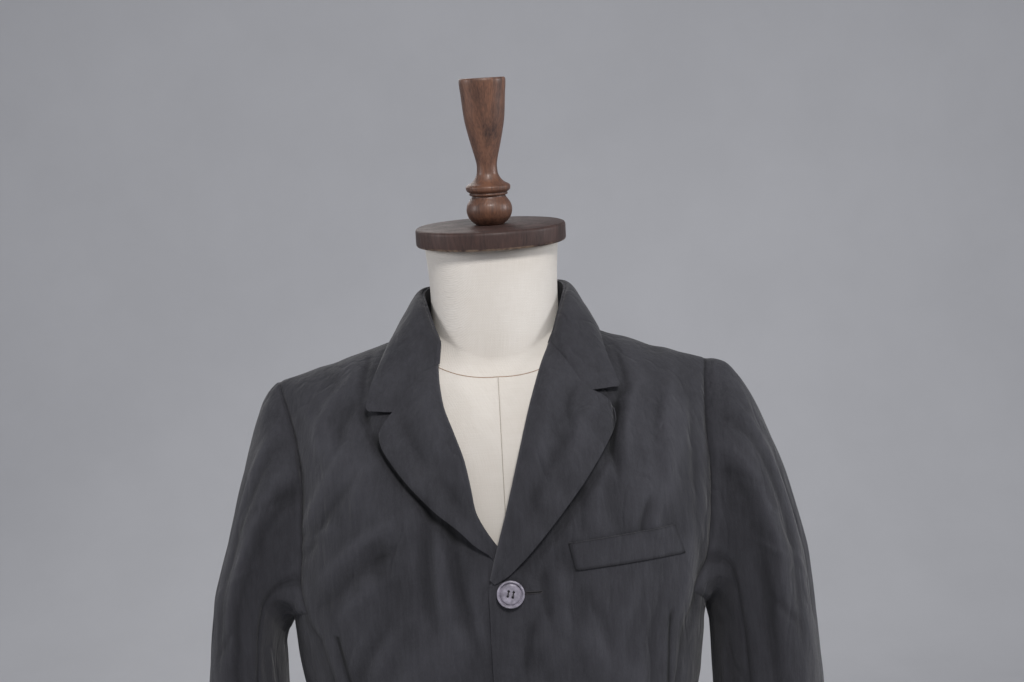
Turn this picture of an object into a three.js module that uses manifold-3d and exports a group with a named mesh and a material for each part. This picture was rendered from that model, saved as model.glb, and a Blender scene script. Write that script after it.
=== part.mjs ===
// Notch-lapel blazer on a limbless dress form. Millimetres, +Z up, the front faces -Y,
// +X is the wearer's left. The origin is the centre of the base's underside.
import * as THREE from "three";
import { mergeVertices } from "three/addons/utils/BufferGeometryUtils.js";
import Module from "manifold-3d";

const wasm = await Module();
wasm.setup();

// Driving dimensions
const EYE = 915; // height that the tables below count from
const WALL = 2; // cloth
const SEAM = 0.15; // half the gap at a seam
const GAP = 0.4; // between a piece and what it lies on
const LAYER_GAP = 1.2; // under a turned-back layer
const RIDGE_Y = 5; // the shoulder seam's place front to back
const PLAN_POWER = 2.6; // squareness of the body's plan
const FRONT_DROP = 150; // shoulder down to the fullest chest
const BACK_DROP = 120;
const FRONT_POWER = 2; // roundness of the shoulder's front
const BACK_POWER = 3;
const HEM = -705;
const ARMPIT = -243;
const ARMPIT_MIDDLE = { 1: -260, [-1]: -250 }; // by hand
const LAP = 1.3; // the left front lies this far out, the right front this far in
const BUTTON_X = 1;
const FIRST_BUTTON = -225;
const BUTTON_STEP = 115;

// A smooth curve through a short table: the first column is the input
function curve(rows, column = 1) {
  return (input) => {
    const rising = rows[1][0] > rows[0][0];
    const last = rows.length - 2;
    let k = 0;
    while (k < last && (rising ? input > rows[k + 1][0] : input < rows[k + 1][0])) k += 1;
    const span = rows[k + 1][0] - rows[k][0];
    const t = THREE.MathUtils.clamp((input - rows[k][0]) / span, 0, 1);
    const slope = (i) => {
      if (i <= 0 || i >= rows.length - 1) return null;
      const before = (rows[i][column] - rows[i - 1][column]) / (rows[i][0] - rows[i - 1][0]);
      const after = (rows[i + 1][column] - rows[i][column]) / (rows[i + 1][0] - rows[i][0]);
      return before * after <= 0 ? 0 : (2 * before * after) / (before + after);
    };
    const chord = (rows[k + 1][column] - rows[k][column]) / span;
    const start = slope(k) ?? chord;
    const end = slope(k + 1) ?? chord;
    const square = t * t;
    const cube = square * t;
    return (
      rows[k][column] * (2 * cube - 3 * square + 1) + span * start * (cube - 2 * square + t) +
      rows[k + 1][column] * (3 * square - 2 * cube) + span * end * (cube - square)
    );
  };
}

// Body sections. Columns: z, half-width, depth in front of the ridge, depth behind it
const BODY = [
  [20, 215, 100, 98],
  [-28, 214, 106, 106],
  [-100, 210, 120, 118],
  [-180, 205, 129, 119],
  [-258, 197, 128, 110],
  [-320, 189, 122, 100],
  [-390, 174, 115, 92],
  [-480, 180, 118, 100],
  [-600, 191, 124, 110],
  [-705, 197, 127, 116],
  [-800, 198, 127, 116],
];
const halfWidth = curve(BODY, 1);
const frontDepth = curve(BODY, 2);
const backDepth = curve(BODY, 3);

// Shoulder line. Columns: distance from the middle, z
const shoulder = curve([[0, 20], [60, 17], [100, 6], [150, -10], [190, -22], [208, -28], [230, -35]]);

// Largest folds of the body. Columns: front (-1) or back (1), x, z, x, z, half-width, height
const BODY_FOLDS = [
  [-1, 175, -70, 120, -165, 16, 3],
  [-1, -175, -75, -110, -175, 16, 3],
  [-1, -150, -120, -90, -225, 12, -2.5],
  [-1, 60, -260, 120, -330, 16, 2.5],
  [-1, -40, -260, -120, -340, 16, 3],
  [-1, 70, -420, 95, -640, 22, 3.5],
  [-1, -75, -410, -105, -630, 22, 3.5],
  [1, 150, -90, 60, -200, 20, 3],
  [1, -150, -90, -70, -210, 20, 3],
  [1, 90, -350, 30, -470, 20, -3],
  [1, -95, -345, -35, -460, 20, -3],
  [1, 70, -480, 85, -660, 24, 4],
  [1, -75, -490, -90, -660, 24, 4],
];

function fold(x, z, side) {
  let height = 0;
  for (const [foldSide, x0, z0, x1, z1, width, rise] of BODY_FOLDS) {
    if (foldSide !== side) continue;
    const along = (x - x0) * (x1 - x0) + (z - z0) * (z1 - z0);
    const length = Math.hypot(x1 - x0, z1 - z0);
    const t = along / length ** 2;
    const across = ((x - x0) * (z1 - z0) - (z - z0) * (x1 - x0)) / length;
    const ends = Math.exp(-(Math.abs(2 * t - 1) ** 4));
    height += rise * ends * Math.exp(-((across / width) ** 2));
  }
  return height;
}

// The cloth's middle surface: above 0 outside it, below 0 inside it
function level(p) {
  const front = p.y < RIDGE_Y;
  const drop = front ? FRONT_DROP : BACK_DROP;
  const power = front ? FRONT_POWER : BACK_POWER;
  const width = halfWidth(p.z);
  const plan = (Math.abs(p.x) / width) ** PLAN_POWER;
  const depth = (front ? frontDepth : backDepth)(p.z);
  const down = Math.max(0, 1 - (shoulder(Math.abs(p.x)) - p.z) / drop);
  const across = Math.abs(p.y - RIDGE_Y) / depth;
  const room = Math.max(1 - plan, 1e-4) ** (1 / PLAN_POWER);
  return (across / room) ** power + down ** power - 1 + Math.max(0, plan - 1 + 1e-4) * 50;
}

function slopeOf(p) {
  const step = 0.5;
  const slope = new THREE.Vector3();
  for (const axis of ["x", "y", "z"]) {
    const ahead = p.clone();
    const behind = p.clone();
    ahead[axis] += step;
    behind[axis] -= step;
    slope[axis] = (level(ahead) - level(behind)) / (2 * step);
  }
  return slope;
}

// A point on the cloth's middle surface. w runs 0 at the shoulder seam, 1 at the fullest
// chest or back, and 2 at the hem
function onBody(x, w, side) {
  const front = side < 0;
  const drop = front ? FRONT_DROP : BACK_DROP;
  const power = front ? FRONT_POWER : BACK_POWER;
  const top = shoulder(Math.abs(x));
  const angle = (Math.min(w, 1) * Math.PI) / 2;
  let z = top - drop * (1 - Math.cos(angle) ** (2 / power));
  if (w > 1) z = top - drop + (w - 1) * (HEM - top + drop);
  const ratio = Math.min(1, Math.abs(x) / halfWidth(z));
  const room = (1 - ratio ** PLAN_POWER) ** (1 / PLAN_POWER);
  const depth = (front ? frontDepth : backDepth)(z) * room * Math.sin(angle) ** (2 / power);
  return new THREE.Vector3(x, RIDGE_Y + side * depth, z);
}

function wAt(x, z, side) {
  const drop = side < 0 ? FRONT_DROP : BACK_DROP;
  const power = side < 0 ? FRONT_POWER : BACK_POWER;
  const below = shoulder(Math.abs(x)) - z;
  if (below >= drop) return 1 + (below - drop) / (shoulder(Math.abs(x)) - drop - HEM);
  const cosine = Math.max(0, 1 - Math.max(0, below) / drop) ** (power / 2);
  return (Math.acos(cosine) * 2) / Math.PI;
}

function outward(p) {
  return slopeOf(p).normalize();
}

// Moves a point of the surface out by a distance, with the folds under it
function lift(p, out) {
  const side = p.y < RIDGE_Y ? -1 : 1;
  return p.clone().addScaledVector(outward(p), out + fold(p.x, p.z, side));
}

// Brings any point near the body to at least a distance outside its surface
function keepOut(p, out) {
  const q = p.clone();
  for (let pass = 0; pass < 6; pass += 1) {
    const slope = slopeOf(q);
    const far = level(q) / slope.length();
    const side = q.y < RIDGE_Y ? -1 : 1;
    const wanted = out + fold(q.x, q.z, side);
    if (far < wanted) q.addScaledVector(slope.normalize(), Math.min(wanted - far, 12));
  }
  return q;
}

// Grids of points and normals, and the closed wall through them
function gridNormals(points) {
  return points.map((row, i) => row.map((_, j) => {
    const down = new THREE.Vector3().subVectors(
      points[Math.min(i + 1, points.length - 1)][j], points[Math.max(i - 1, 0)][j]);
    const across = new THREE.Vector3().subVectors(
      row[Math.min(j + 1, row.length - 1)], row[Math.max(j - 1, 0)]);
    return down.cross(across).normalize();
  }));
}

function inset(points, edges) {
  const moved = points.map((row) => row.map((p) => p.clone()));
  const rows = points.length;
  const columns = points[0].length;
  const shift = (i, j, towardI, towardJ) => {
    const way = new THREE.Vector3().subVectors(points[towardI][towardJ], points[i][j]);
    if (way.length() > 1e-6) moved[i][j].addScaledVector(way.normalize(), SEAM);
  };
  for (let j = 0; j < columns; j += 1) {
    if (edges.includes("top")) shift(0, j, 1, j);
    if (edges.includes("bottom")) shift(rows - 1, j, rows - 2, j);
  }
  for (let i = 0; i < rows; i += 1) {
    if (edges.includes("first")) shift(i, 0, i, 1);
    if (edges.includes("last")) shift(i, columns - 1, i, columns - 2);
  }
  return moved;
}

// How far the worn jacket hangs off its middle, mm towards the wearer's left. Columns: z, shift of
// the left side, shift of the right side
const SWAY = [
  [60, 0, 0],
  [20, -4, -4],
  [-28, -6, -6],
  [-60, -5.5, -1],
  [-90, -4.5, 4],
  [-125, -2, 6],
  [-175, -1, 1],
  [-205, -1.5, -6],
  [-240, -6, -12],
  [-280, -10, -13],
  [-340, -9, -13],
  [-450, -8, -11],
  [-600, -5, -6],
  [-705, -3, -4],
  [-800, -3, -4],
];
const SWAY_WIDTH = 190; // the shift grows from the middle as far as this
const leftSway = curve(SWAY, 1);
const rightSway = curve(SWAY, 2);

function swayed(x, z) {
  const share = Math.min(1, (x / SWAY_WIDTH) ** 2);
  return x + (x > 0 ? leftSway : rightSway)(z) * share;
}

function wall(points, normals, thick = WALL) {
  const rows = points.length;
  const columns = points[0].length;
  const positions = [];
  for (const face of [0.5, -0.5]) {
    for (let i = 0; i < rows; i += 1) {
      for (let j = 0; j < columns; j += 1) {
        const p = points[i][j].clone().addScaledVector(normals[i][j], face * thick);
        positions.push(swayed(p.x, p.z), p.y, p.z + EYE);
      }
    }
  }
  const at = (face, i, j) => face * rows * columns + i * columns + j;
  const index = [];
  const quad = (a, b, c, d) => index.push(a, b, c, a, c, d);
  for (let i = 0; i < rows - 1; i += 1) {
    for (let j = 0; j < columns - 1; j += 1) {
      quad(at(0, i, j), at(0, i + 1, j), at(0, i + 1, j + 1), at(0, i, j + 1));
      quad(at(1, i, j), at(1, i, j + 1), at(1, i + 1, j + 1), at(1, i + 1, j));
    }
    quad(at(0, i, 0), at(1, i, 0), at(1, i + 1, 0), at(0, i + 1, 0));
    const end = columns - 1;
    quad(at(0, i, end), at(0, i + 1, end), at(1, i + 1, end), at(1, i, end));
  }
  for (let j = 0; j < columns - 1; j += 1) {
    quad(at(0, 0, j), at(0, 0, j + 1), at(1, 0, j + 1), at(1, 0, j));
    const end = rows - 1;
    quad(at(0, end, j), at(1, end, j), at(1, end, j + 1), at(0, end, j + 1));
  }
  return closed(positions, index);
}

function closed(positions, index) {
  const geometry = new THREE.BufferGeometry();
  geometry.setAttribute("position", new THREE.Float32BufferAttribute(positions, 3));
  geometry.setIndex(index);
  const a = new THREE.Vector3();
  const b = new THREE.Vector3();
  const c = new THREE.Vector3();
  let volume = 0;
  for (let k = 0; k < index.length; k += 3) {
    a.fromArray(positions, index[k] * 3);
    b.fromArray(positions, index[k + 1] * 3);
    c.fromArray(positions, index[k + 2] * 3);
    volume += a.dot(b.cross(c));
  }
  if (volume < 0) geometry.setIndex(index.map((_, k) => index[k + [0, 1, -1][k % 3]]));
  geometry.computeVertexNormals();
  return geometry;
}

const spread = (count) => Array.from({ length: count }, (_, k) => k / (count - 1));
const mix = THREE.MathUtils.lerp;

// Materials
const finish = (color, roughness) =>
  new THREE.MeshStandardMaterial({ color, roughness, metalness: 0 });
const CLOTH = finish(0x3b3a40, 0.9);
const BUTTON = finish(0x9a94a3, 0.45);
const LINEN = finish(0xd9d2c6, 0.85);
const CAP_WOOD = finish(0x3a2420, 0.5);
const TURNED_WOOD = finish(0x5a3426, 0.35);

const model = new THREE.Group();
function add(name, geometry, material) {
  const mesh = new THREE.Mesh(geometry, material);
  mesh.name = name;
  model.add(mesh);
  return mesh;
}

// Armhole edge in front view. Columns: z, x of the front edge, x of the back edge
const ARMHOLE = [
  [-28, 208, 208],
  [-40, 205, 206],
  [-60, 202, 204],
  [-100, 198, 200],
  [-140, 196, 198],
  [-180, 193, 196],
  [-212, 188, 191],
  [ARMPIT, 178, 182],
];
// Side seams below the armpit. Columns: z, share of the half-width in front, behind
const SIDE_SEAMS = [
  [ARMPIT, 0.9, 0.92],
  [-266, 0.85, 0.88],
  [-320, 0.815, 0.84],
  [-390, 0.81, 0.82],
  [HEM, 0.8, 0.81],
];
function outerEdge(z, side) {
  const column = side < 0 ? 1 : 2;
  if (z > ARMPIT) return curve(ARMHOLE, column)(z);
  if (z > ARMPIT - 23) {
    const t = (ARMPIT - z) / 23;
    return mix(ARMHOLE[7][column], curve(SIDE_SEAMS, column)(z) * halfWidth(z), t);
  }
  return curve(SIDE_SEAMS, column)(z) * halfWidth(z);
}

// Front edges: neckline, roll line, front edge and rounded hem. Columns: z, x
const LEFT_EDGE = [
  [15, 73], [-2, 58], [-17, 47], [-55, 32], [-102, 18], [-147, 5], [-186, -7], [-210, -15],
  [-228, -18.5], [-560, -18.5], [-620, -10], [-665, 8], [-690, 30], [HEM, 58],
];
const RIGHT_EDGE = [
  [15, 73], [-2, 63], [-22, 57], [-52, 54], [-107, 36], [-135, 31], [-155, 28], [-176, 14],
  [-200, -2], [-228, -18.5], [-560, -18.5], [-620, -10], [-665, 8], [-690, 30], [HEM, 58],
];
const OUTER_ROWS = [
  -28, -29.2, -33, -41, -53, -71, -96, -126, -156, -184, -214, ARMPIT, -266, -300, -340, -385, -430,
  -480, -530, -580, -630, -668, -690, HEM,
];
const FRONT_COLUMNS = 11;
const BACK_COLUMNS = 9;
const SIDE_COLUMNS = 6;

function edgeAt(edge, w, side) {
  const x = curve(edge);
  let guess = 40;
  for (let pass = 0; pass < 30; pass += 1) guess = mix(guess, x(onBody(guess, w, side).z), 0.6);
  return guess;
}

// Back neckline: an ellipse in plan that meets the centre back seam
const NECK_WIDTH = 73;
const NECK_W = 0.45;
function backInner(w) {
  if (w >= NECK_W) return 0;
  const depth = (share) => Math.sin((share * Math.PI) / 2) ** (2 / BACK_POWER);
  return NECK_WIDTH * Math.sqrt(1 - (depth(w) / depth(NECK_W)) ** 2);
}

// One front or back as a grid of surface points. hand is 1 on the wearer's left
function panelGrid(hand, side) {
  const columns = side < 0 ? FRONT_COLUMNS : BACK_COLUMNS;
  return OUTER_ROWS.map((z) => {
    const outer = outerEdge(z, side);
    const w = z === OUTER_ROWS[0] ? 0 : wAt(outer, z, side);
    const edge = hand > 0 ? LEFT_EDGE : RIGHT_EDGE;
    const inner = side < 0 ? edgeAt(edge, w, side) : backInner(w);
    return spread(columns).map((u) => onBody(hand * mix(inner, outer, u), w, side));
  });
}

function lapOf(p, hand) {
  if (p.y > RIDGE_Y || p.z > -90) return 0;
  const fade = THREE.MathUtils.smoothstep(p.x * hand, 20, 90);
  return hand * LAP * (1 - fade) * THREE.MathUtils.smoothstep(-p.z, 90, 150);
}

const lifted = (grid, hand) => grid.map((row) => row.map((p) => lift(p, lapOf(p, hand))));
const normalsOf = (grid) => grid.map((row) => row.map(outward));

function sideGrid(hand) {
  const rows = OUTER_ROWS.filter((z) => z <= ARMPIT);
  return rows.map((z, i) => spread(SIDE_COLUMNS).map((u) => {
    const height = i === 0 ? mix(z, ARMPIT_MIDDLE[hand], Math.sin(u * Math.PI)) : z;
    const turn = (share) => Math.acos(share ** (PLAN_POWER / 2));
    const share = (column) => outerEdge(z, column) / halfWidth(z);
    const angle = mix(-turn(share(-1)), turn(share(1)), u);
    const x = hand * halfWidth(height) * Math.cos(angle) ** (2 / PLAN_POWER);
    const depth = (angle < 0 ? frontDepth : backDepth)(height);
    const y = RIDGE_Y + Math.sign(angle) * depth * Math.abs(Math.sin(angle)) ** (2 / PLAN_POWER);
    return new THREE.Vector3(x, y, height);
  }));
}

// Sleeve sections. Columns: outer z, outer x of the left, of the right, inner x of the left,
// of the right, inner z, middle y, half-depth
const SLEEVE = [
  [-28, 208, 208, 195, 195, -260, 5, 66],
  [-32, 226, 215, 197, 198, -262, 3, 67],
  [-45, 238, 227, 198, 201, -264, 2, 68],
  [-66, 250, 239, 199, 204, -266, 1, 69],
  [-94, 261, 252, 200, 206, -268, 0, 69],
  [-126, 270, 262, 201, 208, -270, -1, 69],
  [-162, 279, 268, 202, 209, -273, -2, 68],
  [-200, 288, 272, 203, 210, -277, -3, 67],
  [-244, 299, 275, 204, 211, -284, -4, 66],
  [-290, 306, 281, 204, 211, -302, -5, 65],
  [-340, 308, 286, 204, 210, -340, -7, 63],
  [-395, 307, 288, 204, 208, -395, -10, 61],
  [-450, 305, 289, 204, 207, -450, -13, 59],
  [-505, 302, 289, 204, 206, -505, -17, 56],
  [-560, 299, 289, 205, 206, -560, -21, 53],
  [-610, 295, 288, 206, 207, -610, -24, 50],
  [-650, 292, 286, 207, 208, -650, -26, 48],
];
// Long folds of a sleeve. Columns: turn in degrees, width in degrees, height, z of its middle,
// half-length
const SLEEVE_FOLDS = [
  [62, 20, 3.5, -250, 190],
  [105, 16, -3, -330, 160],
  [20, 16, -2.5, -300, 200],
  [300, 20, 3, -260, 170],
  [250, 18, -3, -400, 180],
  [180, 22, 2.5, -450, 150],
];

function sleeveGrid(hand, loop) {
  const middle = { y: RIDGE_Y, z: (SLEEVE[0][0] + SLEEVE[0][5]) / 2 };
  const turns = loop.map((p) =>
    Math.atan2((middle.y - p.y) / SLEEVE[0][7], (p.z - middle.z) / (SLEEVE[0][0] - middle.z)));
  const section = (row, turn) => {
    const outer = new THREE.Vector3(hand * row[hand > 0 ? 1 : 2], row[6], row[0]);
    const inner = new THREE.Vector3(hand * row[hand > 0 ? 3 : 4], row[6], row[5]);
    const centre = outer.clone().add(inner).multiplyScalar(0.5);
    const reach = outer.clone().sub(centre);
    const p = centre.clone().addScaledVector(reach, Math.cos(turn));
    p.y -= row[7] * Math.sin(turn);
    let height = 0;
    const degrees = ((turn * 180) / Math.PI + 360) % 360;
    for (const [at, wide, rise, z, half] of SLEEVE_FOLDS) {
      const away = Math.abs(((degrees - at + 540) % 360) - 180);
      height += rise * Math.exp(-((away / wide) ** 2) - ((p.z - z) / half) ** 4);
    }
    const out = p.clone().sub(centre).normalize();
    return { p, out, height };
  };
  return SLEEVE.map((row, k) => loop.map((start, j) => {
    if (k === 0) return start.clone();
    const { p, out, height } = section(row, turns[j]);
    const first = section(SLEEVE[0], turns[j]).p;
    const keep = Math.max(0, 1 - k / 5) ** 2;
    const grown = Math.min(1, k / 5);
    return p.addScaledVector(out, height * grown).addScaledVector(start.clone().sub(first), keep);
  }));
}

const names = { 1: "left", [-1]: "right" };
const ARMHOLE_ROWS = OUTER_ROWS.indexOf(ARMPIT) + 1;
const FORE_SEAM_FROM_BOTTOM = 2; // columns before the front side seam where the sleeve joins
const HIND_SEAM = 4; // armhole rows down the back where the sleeve's other seam starts

for (const hand of [1, -1]) {
  const front = panelGrid(hand, -1);
  const back = panelGrid(hand, 1);
  const side = sideGrid(hand);
  const shaped = { front: lifted(front, hand), back: lifted(back, hand), side: lifted(side, hand) };
  const normals = { front: normalsOf(front), back: normalsOf(back), side: normalsOf(side) };
  // The armhole: down the front, under the arm, up the back
  const loop = [];
  const panelNormals = [];
  const take = (name, i, j) => {
    loop.push(shaped[name][i][j]);
    panelNormals.push({ name, i, j });
  };
  for (let i = 0; i < ARMHOLE_ROWS; i += 1) take("front", i, FRONT_COLUMNS - 1);
  for (let j = 1; j < SIDE_COLUMNS - 1; j += 1) take("side", 0, j);
  for (let i = ARMHOLE_ROWS - 1; i > 0; i -= 1) take("back", i, BACK_COLUMNS - 1);
  const sleeve = sleeveGrid(hand, [...loop, loop[0]]);
  const count = loop.length;
  const around = sleeve.map((row) => [row[count - 1], ...row, row[1]]);
  const sleeveNormals = gridNormals(around).map((row) => row.slice(1, -1));
  const facing = sleeveNormals[8][0].x * hand > 0 ? 1 : -1;
  for (const row of sleeveNormals) for (const n of row) n.multiplyScalar(facing);
  // Both sides of the armhole seam share one direction through the cloth
  loop.forEach((_, k) => {
    const { name, i, j } = panelNormals[k];
    const shared = sleeveNormals[0][k].clone().add(normals[name][i][j]).normalize();
    normals[name][i][j] = shared.clone();
    sleeveNormals[0][k] = shared.clone();
  });
  sleeveNormals[0][count] = sleeveNormals[0][0].clone();
  normals.back[0][BACK_COLUMNS - 1] = sleeveNormals[0][0].clone();
  normals.side[0][0] = normals.front[ARMHOLE_ROWS - 1][FRONT_COLUMNS - 1].clone();
  normals.side[0][SIDE_COLUMNS - 1] = normals.back[ARMHOLE_ROWS - 1][BACK_COLUMNS - 1].clone();

  add(`front_${names[hand]}`, wall(inset(shaped.front, ["top", "last"]), normals.front), CLOTH);
  add(`back_${names[hand]}`, wall(inset(shaped.back, ["top", "first", "last"]), normals.back), CLOTH);
  add(`side_${names[hand]}`, wall(inset(shaped.side, ["top", "first", "last"]), normals.side), CLOTH);

  const fore = ARMHOLE_ROWS - FORE_SEAM_FROM_BOTTOM;
  const hind = count - HIND_SEAM;
  const pick = (grid, from, to) => grid.map((row) => row.slice(from, to + 1));
  const upper = (grid) => grid.map((row) => [...row.slice(hind, count), ...row.slice(0, fore + 1)]);
  add(`top_sleeve_${names[hand]}`,
    wall(inset(upper(sleeve), ["top", "first", "last"]), upper(sleeveNormals)), CLOTH);
  add(`under_sleeve_${names[hand]}`,
    wall(inset(pick(sleeve, fore, hind), ["top", "first", "last"]), pick(sleeveNormals, fore, hind)),
    CLOTH);
}

// A surface point of the front at x and z
const onFront = (x, z) => onBody(x, wAt(x, z, -1), -1);
const along = (points, t) => {
  const place = t * (points.length - 1);
  const k = Math.min(Math.floor(place), points.length - 2);
  return points[k].map((value, axis) => mix(value, points[k + 1][axis], place - k));
};

// Lapels in front view. gorge runs from the roll line to the notch. Columns of rows: roll x, z,
// outer edge x, z
const LAPELS = {
  1: {
    gorge: [[51, -7], [66, -28], [76, -41], [86, -51]],
    tip: [105, -73],
    rows: [
      [42, -27, 103, -84], [32, -55, 95, -99], [23, -84, 77, -124], [14, -115, 55, -151],
      [4, -150, 31, -178], [-6, -182, 10, -198], [-10, -197, -6, -205],
    ],
  },
  [-1]: {
    gorge: [[57, -22], [76, -35], [88, -49], [97, -61]],
    tip: [112, -81],
    rows: [
      [56, -37, 109, -92], [53, -58, 95, -114], [44, -84, 78, -134], [36, -107, 60, -152],
      [31, -130, 42, -168], [28, -150, 27, -180], [20, -172, 17, -187],
    ],
  },
};
const NOTCH_COLUMN = 4;
const LAPEL_COLUMNS = 7;
const ON_PANEL = WALL + LAYER_GAP; // middle of a layer over the middle of the layer it lies on

const rollOf = (u) => 3.5 * Math.exp(-(((u - 0.14) / 0.16) ** 2));
function gorgePoint(hand, u) {
  const { gorge } = LAPELS[hand];
  const [x, z] = along(gorge, u);
  return lift(onFront(hand * x, z), ON_PANEL + rollOf(u * 0.66) * 0.4);
}

function endPoints(hand, tip) {
  const notch = LAPELS[hand].gorge.at(-1);
  const shared = spread(NOTCH_COLUMN + 1).map((u) => gorgePoint(hand, u));
  const free = spread(LAPEL_COLUMNS - NOTCH_COLUMN).slice(1).map((u) => {
    const [x, z] = along([notch, tip], u);
    return lift(onFront(hand * x, z), ON_PANEL);
  });
  return [...shared, ...free];
}

for (const hand of [1, -1]) {
  const { tip, rows } = LAPELS[hand];
  const grid = [endPoints(hand, tip)];
  for (const [rollX, rollZ, outerX, outerZ] of rows) {
    grid.push(spread(LAPEL_COLUMNS).map((u) => {
      const p = onFront(hand * mix(rollX, outerX, u), mix(rollZ, outerZ, u));
      const narrow = Math.hypot(outerX - rollX, outerZ - rollZ) / 75;
      return lift(p, lapOf(p, hand) + ON_PANEL + rollOf(u) * narrow);
    }));
  }
  add(`lapel_${names[hand]}`, wall(inset(grid, ["top"]), normalsOf(grid)), CLOTH);
}

// Collar from the gorge to the centre back. Columns: fold x, y, z, outer edge x, y, z
const COLLAR = [
  [53, -51, 5, 115, -62, -36],
  [60, -38, 25, 108, -48, -21],
  [66, -19, 42, 100, -26, -6],
  [69, 4, 51, 95, 0, 10],
  [66, 26, 57, 92, 30, 14],
  [52, 46, 60, 76, 62, 8],
  [28, 57, 62, 44, 84, 4],
  [0, 61, 62, 0, 90, 3],
];
// Where the stand meets the neckline. Columns: x, z in front, or the back neckline's w
const NECK_FRONT = [[57, -2], [64, 5], [69, 11], [NECK_WIDTH, 15]];
const NECK_BACK = [0.14, 0.26, 0.37, NECK_W];
const STAND_LEAN = 1.5;
const FALL_ROLL = 9;

function standFoot(hand, k) {
  if (k < 3) return onFront(hand * NECK_FRONT[k][0], NECK_FRONT[k][1]);
  if (k === 3) return onBody(hand * NECK_FRONT[3][0], 0, 1);
  const w = NECK_BACK[k - 4];
  return onBody(hand * backInner(w), w, 1);
}

function collarHalf(hand) {
  const stand = [];
  const fall = [];
  COLLAR.forEach(([x, y, z, edgeX, edgeY, edgeZ], k) => {
    const top = new THREE.Vector3(hand * x, y, z);
    const away = new THREE.Vector3(hand * x, y, 0).normalize();
    const foot = lift(standFoot(hand, k), WALL / 2 + LAYER_GAP);
    stand.push(spread(4).map((u) => foot.clone().lerp(top, u)
      .addScaledVector(away, STAND_LEAN * Math.sin(u * Math.PI))));
    const start = top.clone().addScaledVector(away, ON_PANEL);
    const end = keepOut(new THREE.Vector3(hand * edgeX, edgeY, edgeZ), ON_PANEL);
    const roll = start.clone().addScaledVector(away, FALL_ROLL);
    roll.z += 2;
    const path = new THREE.QuadraticBezierCurve3(start, roll, end);
    fall.push(spread(LAPEL_COLUMNS).map((u) => keepOut(path.getPoint(u), ON_PANEL)));
  });
  return { stand, fall };
}

{
  const left = collarHalf(1);
  const right = collarHalf(-1);
  const join = (a, b) => [...a, ...b.slice(0, -1).reverse()];
  const stand = join(left.stand, right.stand);
  const tips = { 1: [113, -51], [-1]: [122, -61] };
  const fall = join(left.fall, right.fall);
  fall.unshift(endPoints(1, tips[1]));
  fall.push(endPoints(-1, tips[-1]));
  const outwardGrid = (grid) => {
    const normals = gridNormals(grid);
    const middle = Math.floor(grid.length / 2);
    const sign = normals[middle][2].y > 0 ? 1 : -1;
    return normals.map((row) => row.map((n) => n.multiplyScalar(sign)));
  };
  const fallNormals = outwardGrid(fall);
  fallNormals[0] = fall[0].map(outward);
  fallNormals[fall.length - 1] = fall.at(-1).map(outward);
  add("collar_stand", wall(stand, outwardGrid(stand)), CLOTH);
  add("collar_fall", wall(inset(fall, ["top", "bottom"]), fallNormals), CLOTH);
}

// Breast welt on the wearer's left front. Corners in front view: x, z
const WELT = { topInner: [55, -183], topOuter: [154, -175], lowInner: [60, -208], lowOuter: [162, -202] };
const WELT_THICK = 1.8;
{
  const grid = spread(3).map((v) => spread(8).map((u) => {
    const inner = along([WELT.topInner, WELT.lowInner], v);
    const outer = along([WELT.topOuter, WELT.lowOuter], v);
    const p = onFront(...along([inner, outer], u));
    return lift(p, lapOf(p, 1) + (WALL + WELT_THICK) / 2 + 2 * GAP);
  }));
  add("breast_welt", wall(grid, normalsOf(grid), WELT_THICK), CLOTH);
}

// Solids cut with manifold: a closed geometry in, a closed geometry out
function toSolid(geometry) {
  const bare = geometry.clone();
  bare.deleteAttribute("normal");
  bare.deleteAttribute("uv");
  const merged = mergeVertices(bare, 1e-4);
  return new wasm.Manifold(new wasm.Mesh({
    numProp: 3,
    vertProperties: new Float32Array(merged.attributes.position.array),
    triVerts: new Uint32Array(merged.index.array),
  }));
}

function fromSolid(solid) {
  const { vertProperties, triVerts } = solid.getMesh();
  return closed(Array.from(vertProperties), Array.from(triVerts));
}

// A turned solid about Z. Columns: radius, height
function turned(profile, sides) {
  const points = profile.map(([radius, height]) => new THREE.Vector2(radius, height));
  return fromSolid(toSolid(new THREE.LatheGeometry(points, sides).rotateX(Math.PI / 2)
    .scale(1, -1, 1)));
}

// Buttons down the left front, each with four holes
const BUTTON_PROFILE = [
  [0, 0], [10.2, 0], [12.5, 1.7], [12.5, 2.7], [11.7, 3.9], [10.5, 4], [8.9, 2.9], [0, 2.7],
];
const HOLE = { radius: 1.05, spacing: 4.4 };
const buttonShape = (() => {
  let solid = toSolid(turned(BUTTON_PROFILE, 24));
  for (const [across, up] of [[1, 1], [1, -1], [-1, 1], [-1, -1]]) {
    const drill = new THREE.CylinderGeometry(HOLE.radius, HOLE.radius, 12, 8).rotateX(Math.PI / 2);
    drill.translate((across * HOLE.spacing) / 2, (up * HOLE.spacing) / 2, 0);
    solid = solid.subtract(toSolid(drill));
  }
  return fromSolid(solid);
})();
for (const k of [0, 1, 2]) {
  const place = onFront(BUTTON_X, FIRST_BUTTON - k * BUTTON_STEP);
  const facing = outward(place);
  const seat = lift(place, LAP + WALL / 2 + GAP);
  const button = add(`button_${k + 1}`, buttonShape.clone(), BUTTON);
  button.quaternion.setFromUnitVectors(new THREE.Vector3(0, 0, 1), facing);
  button.position.copy(seat);
  button.position.z += EYE;
}

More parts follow.
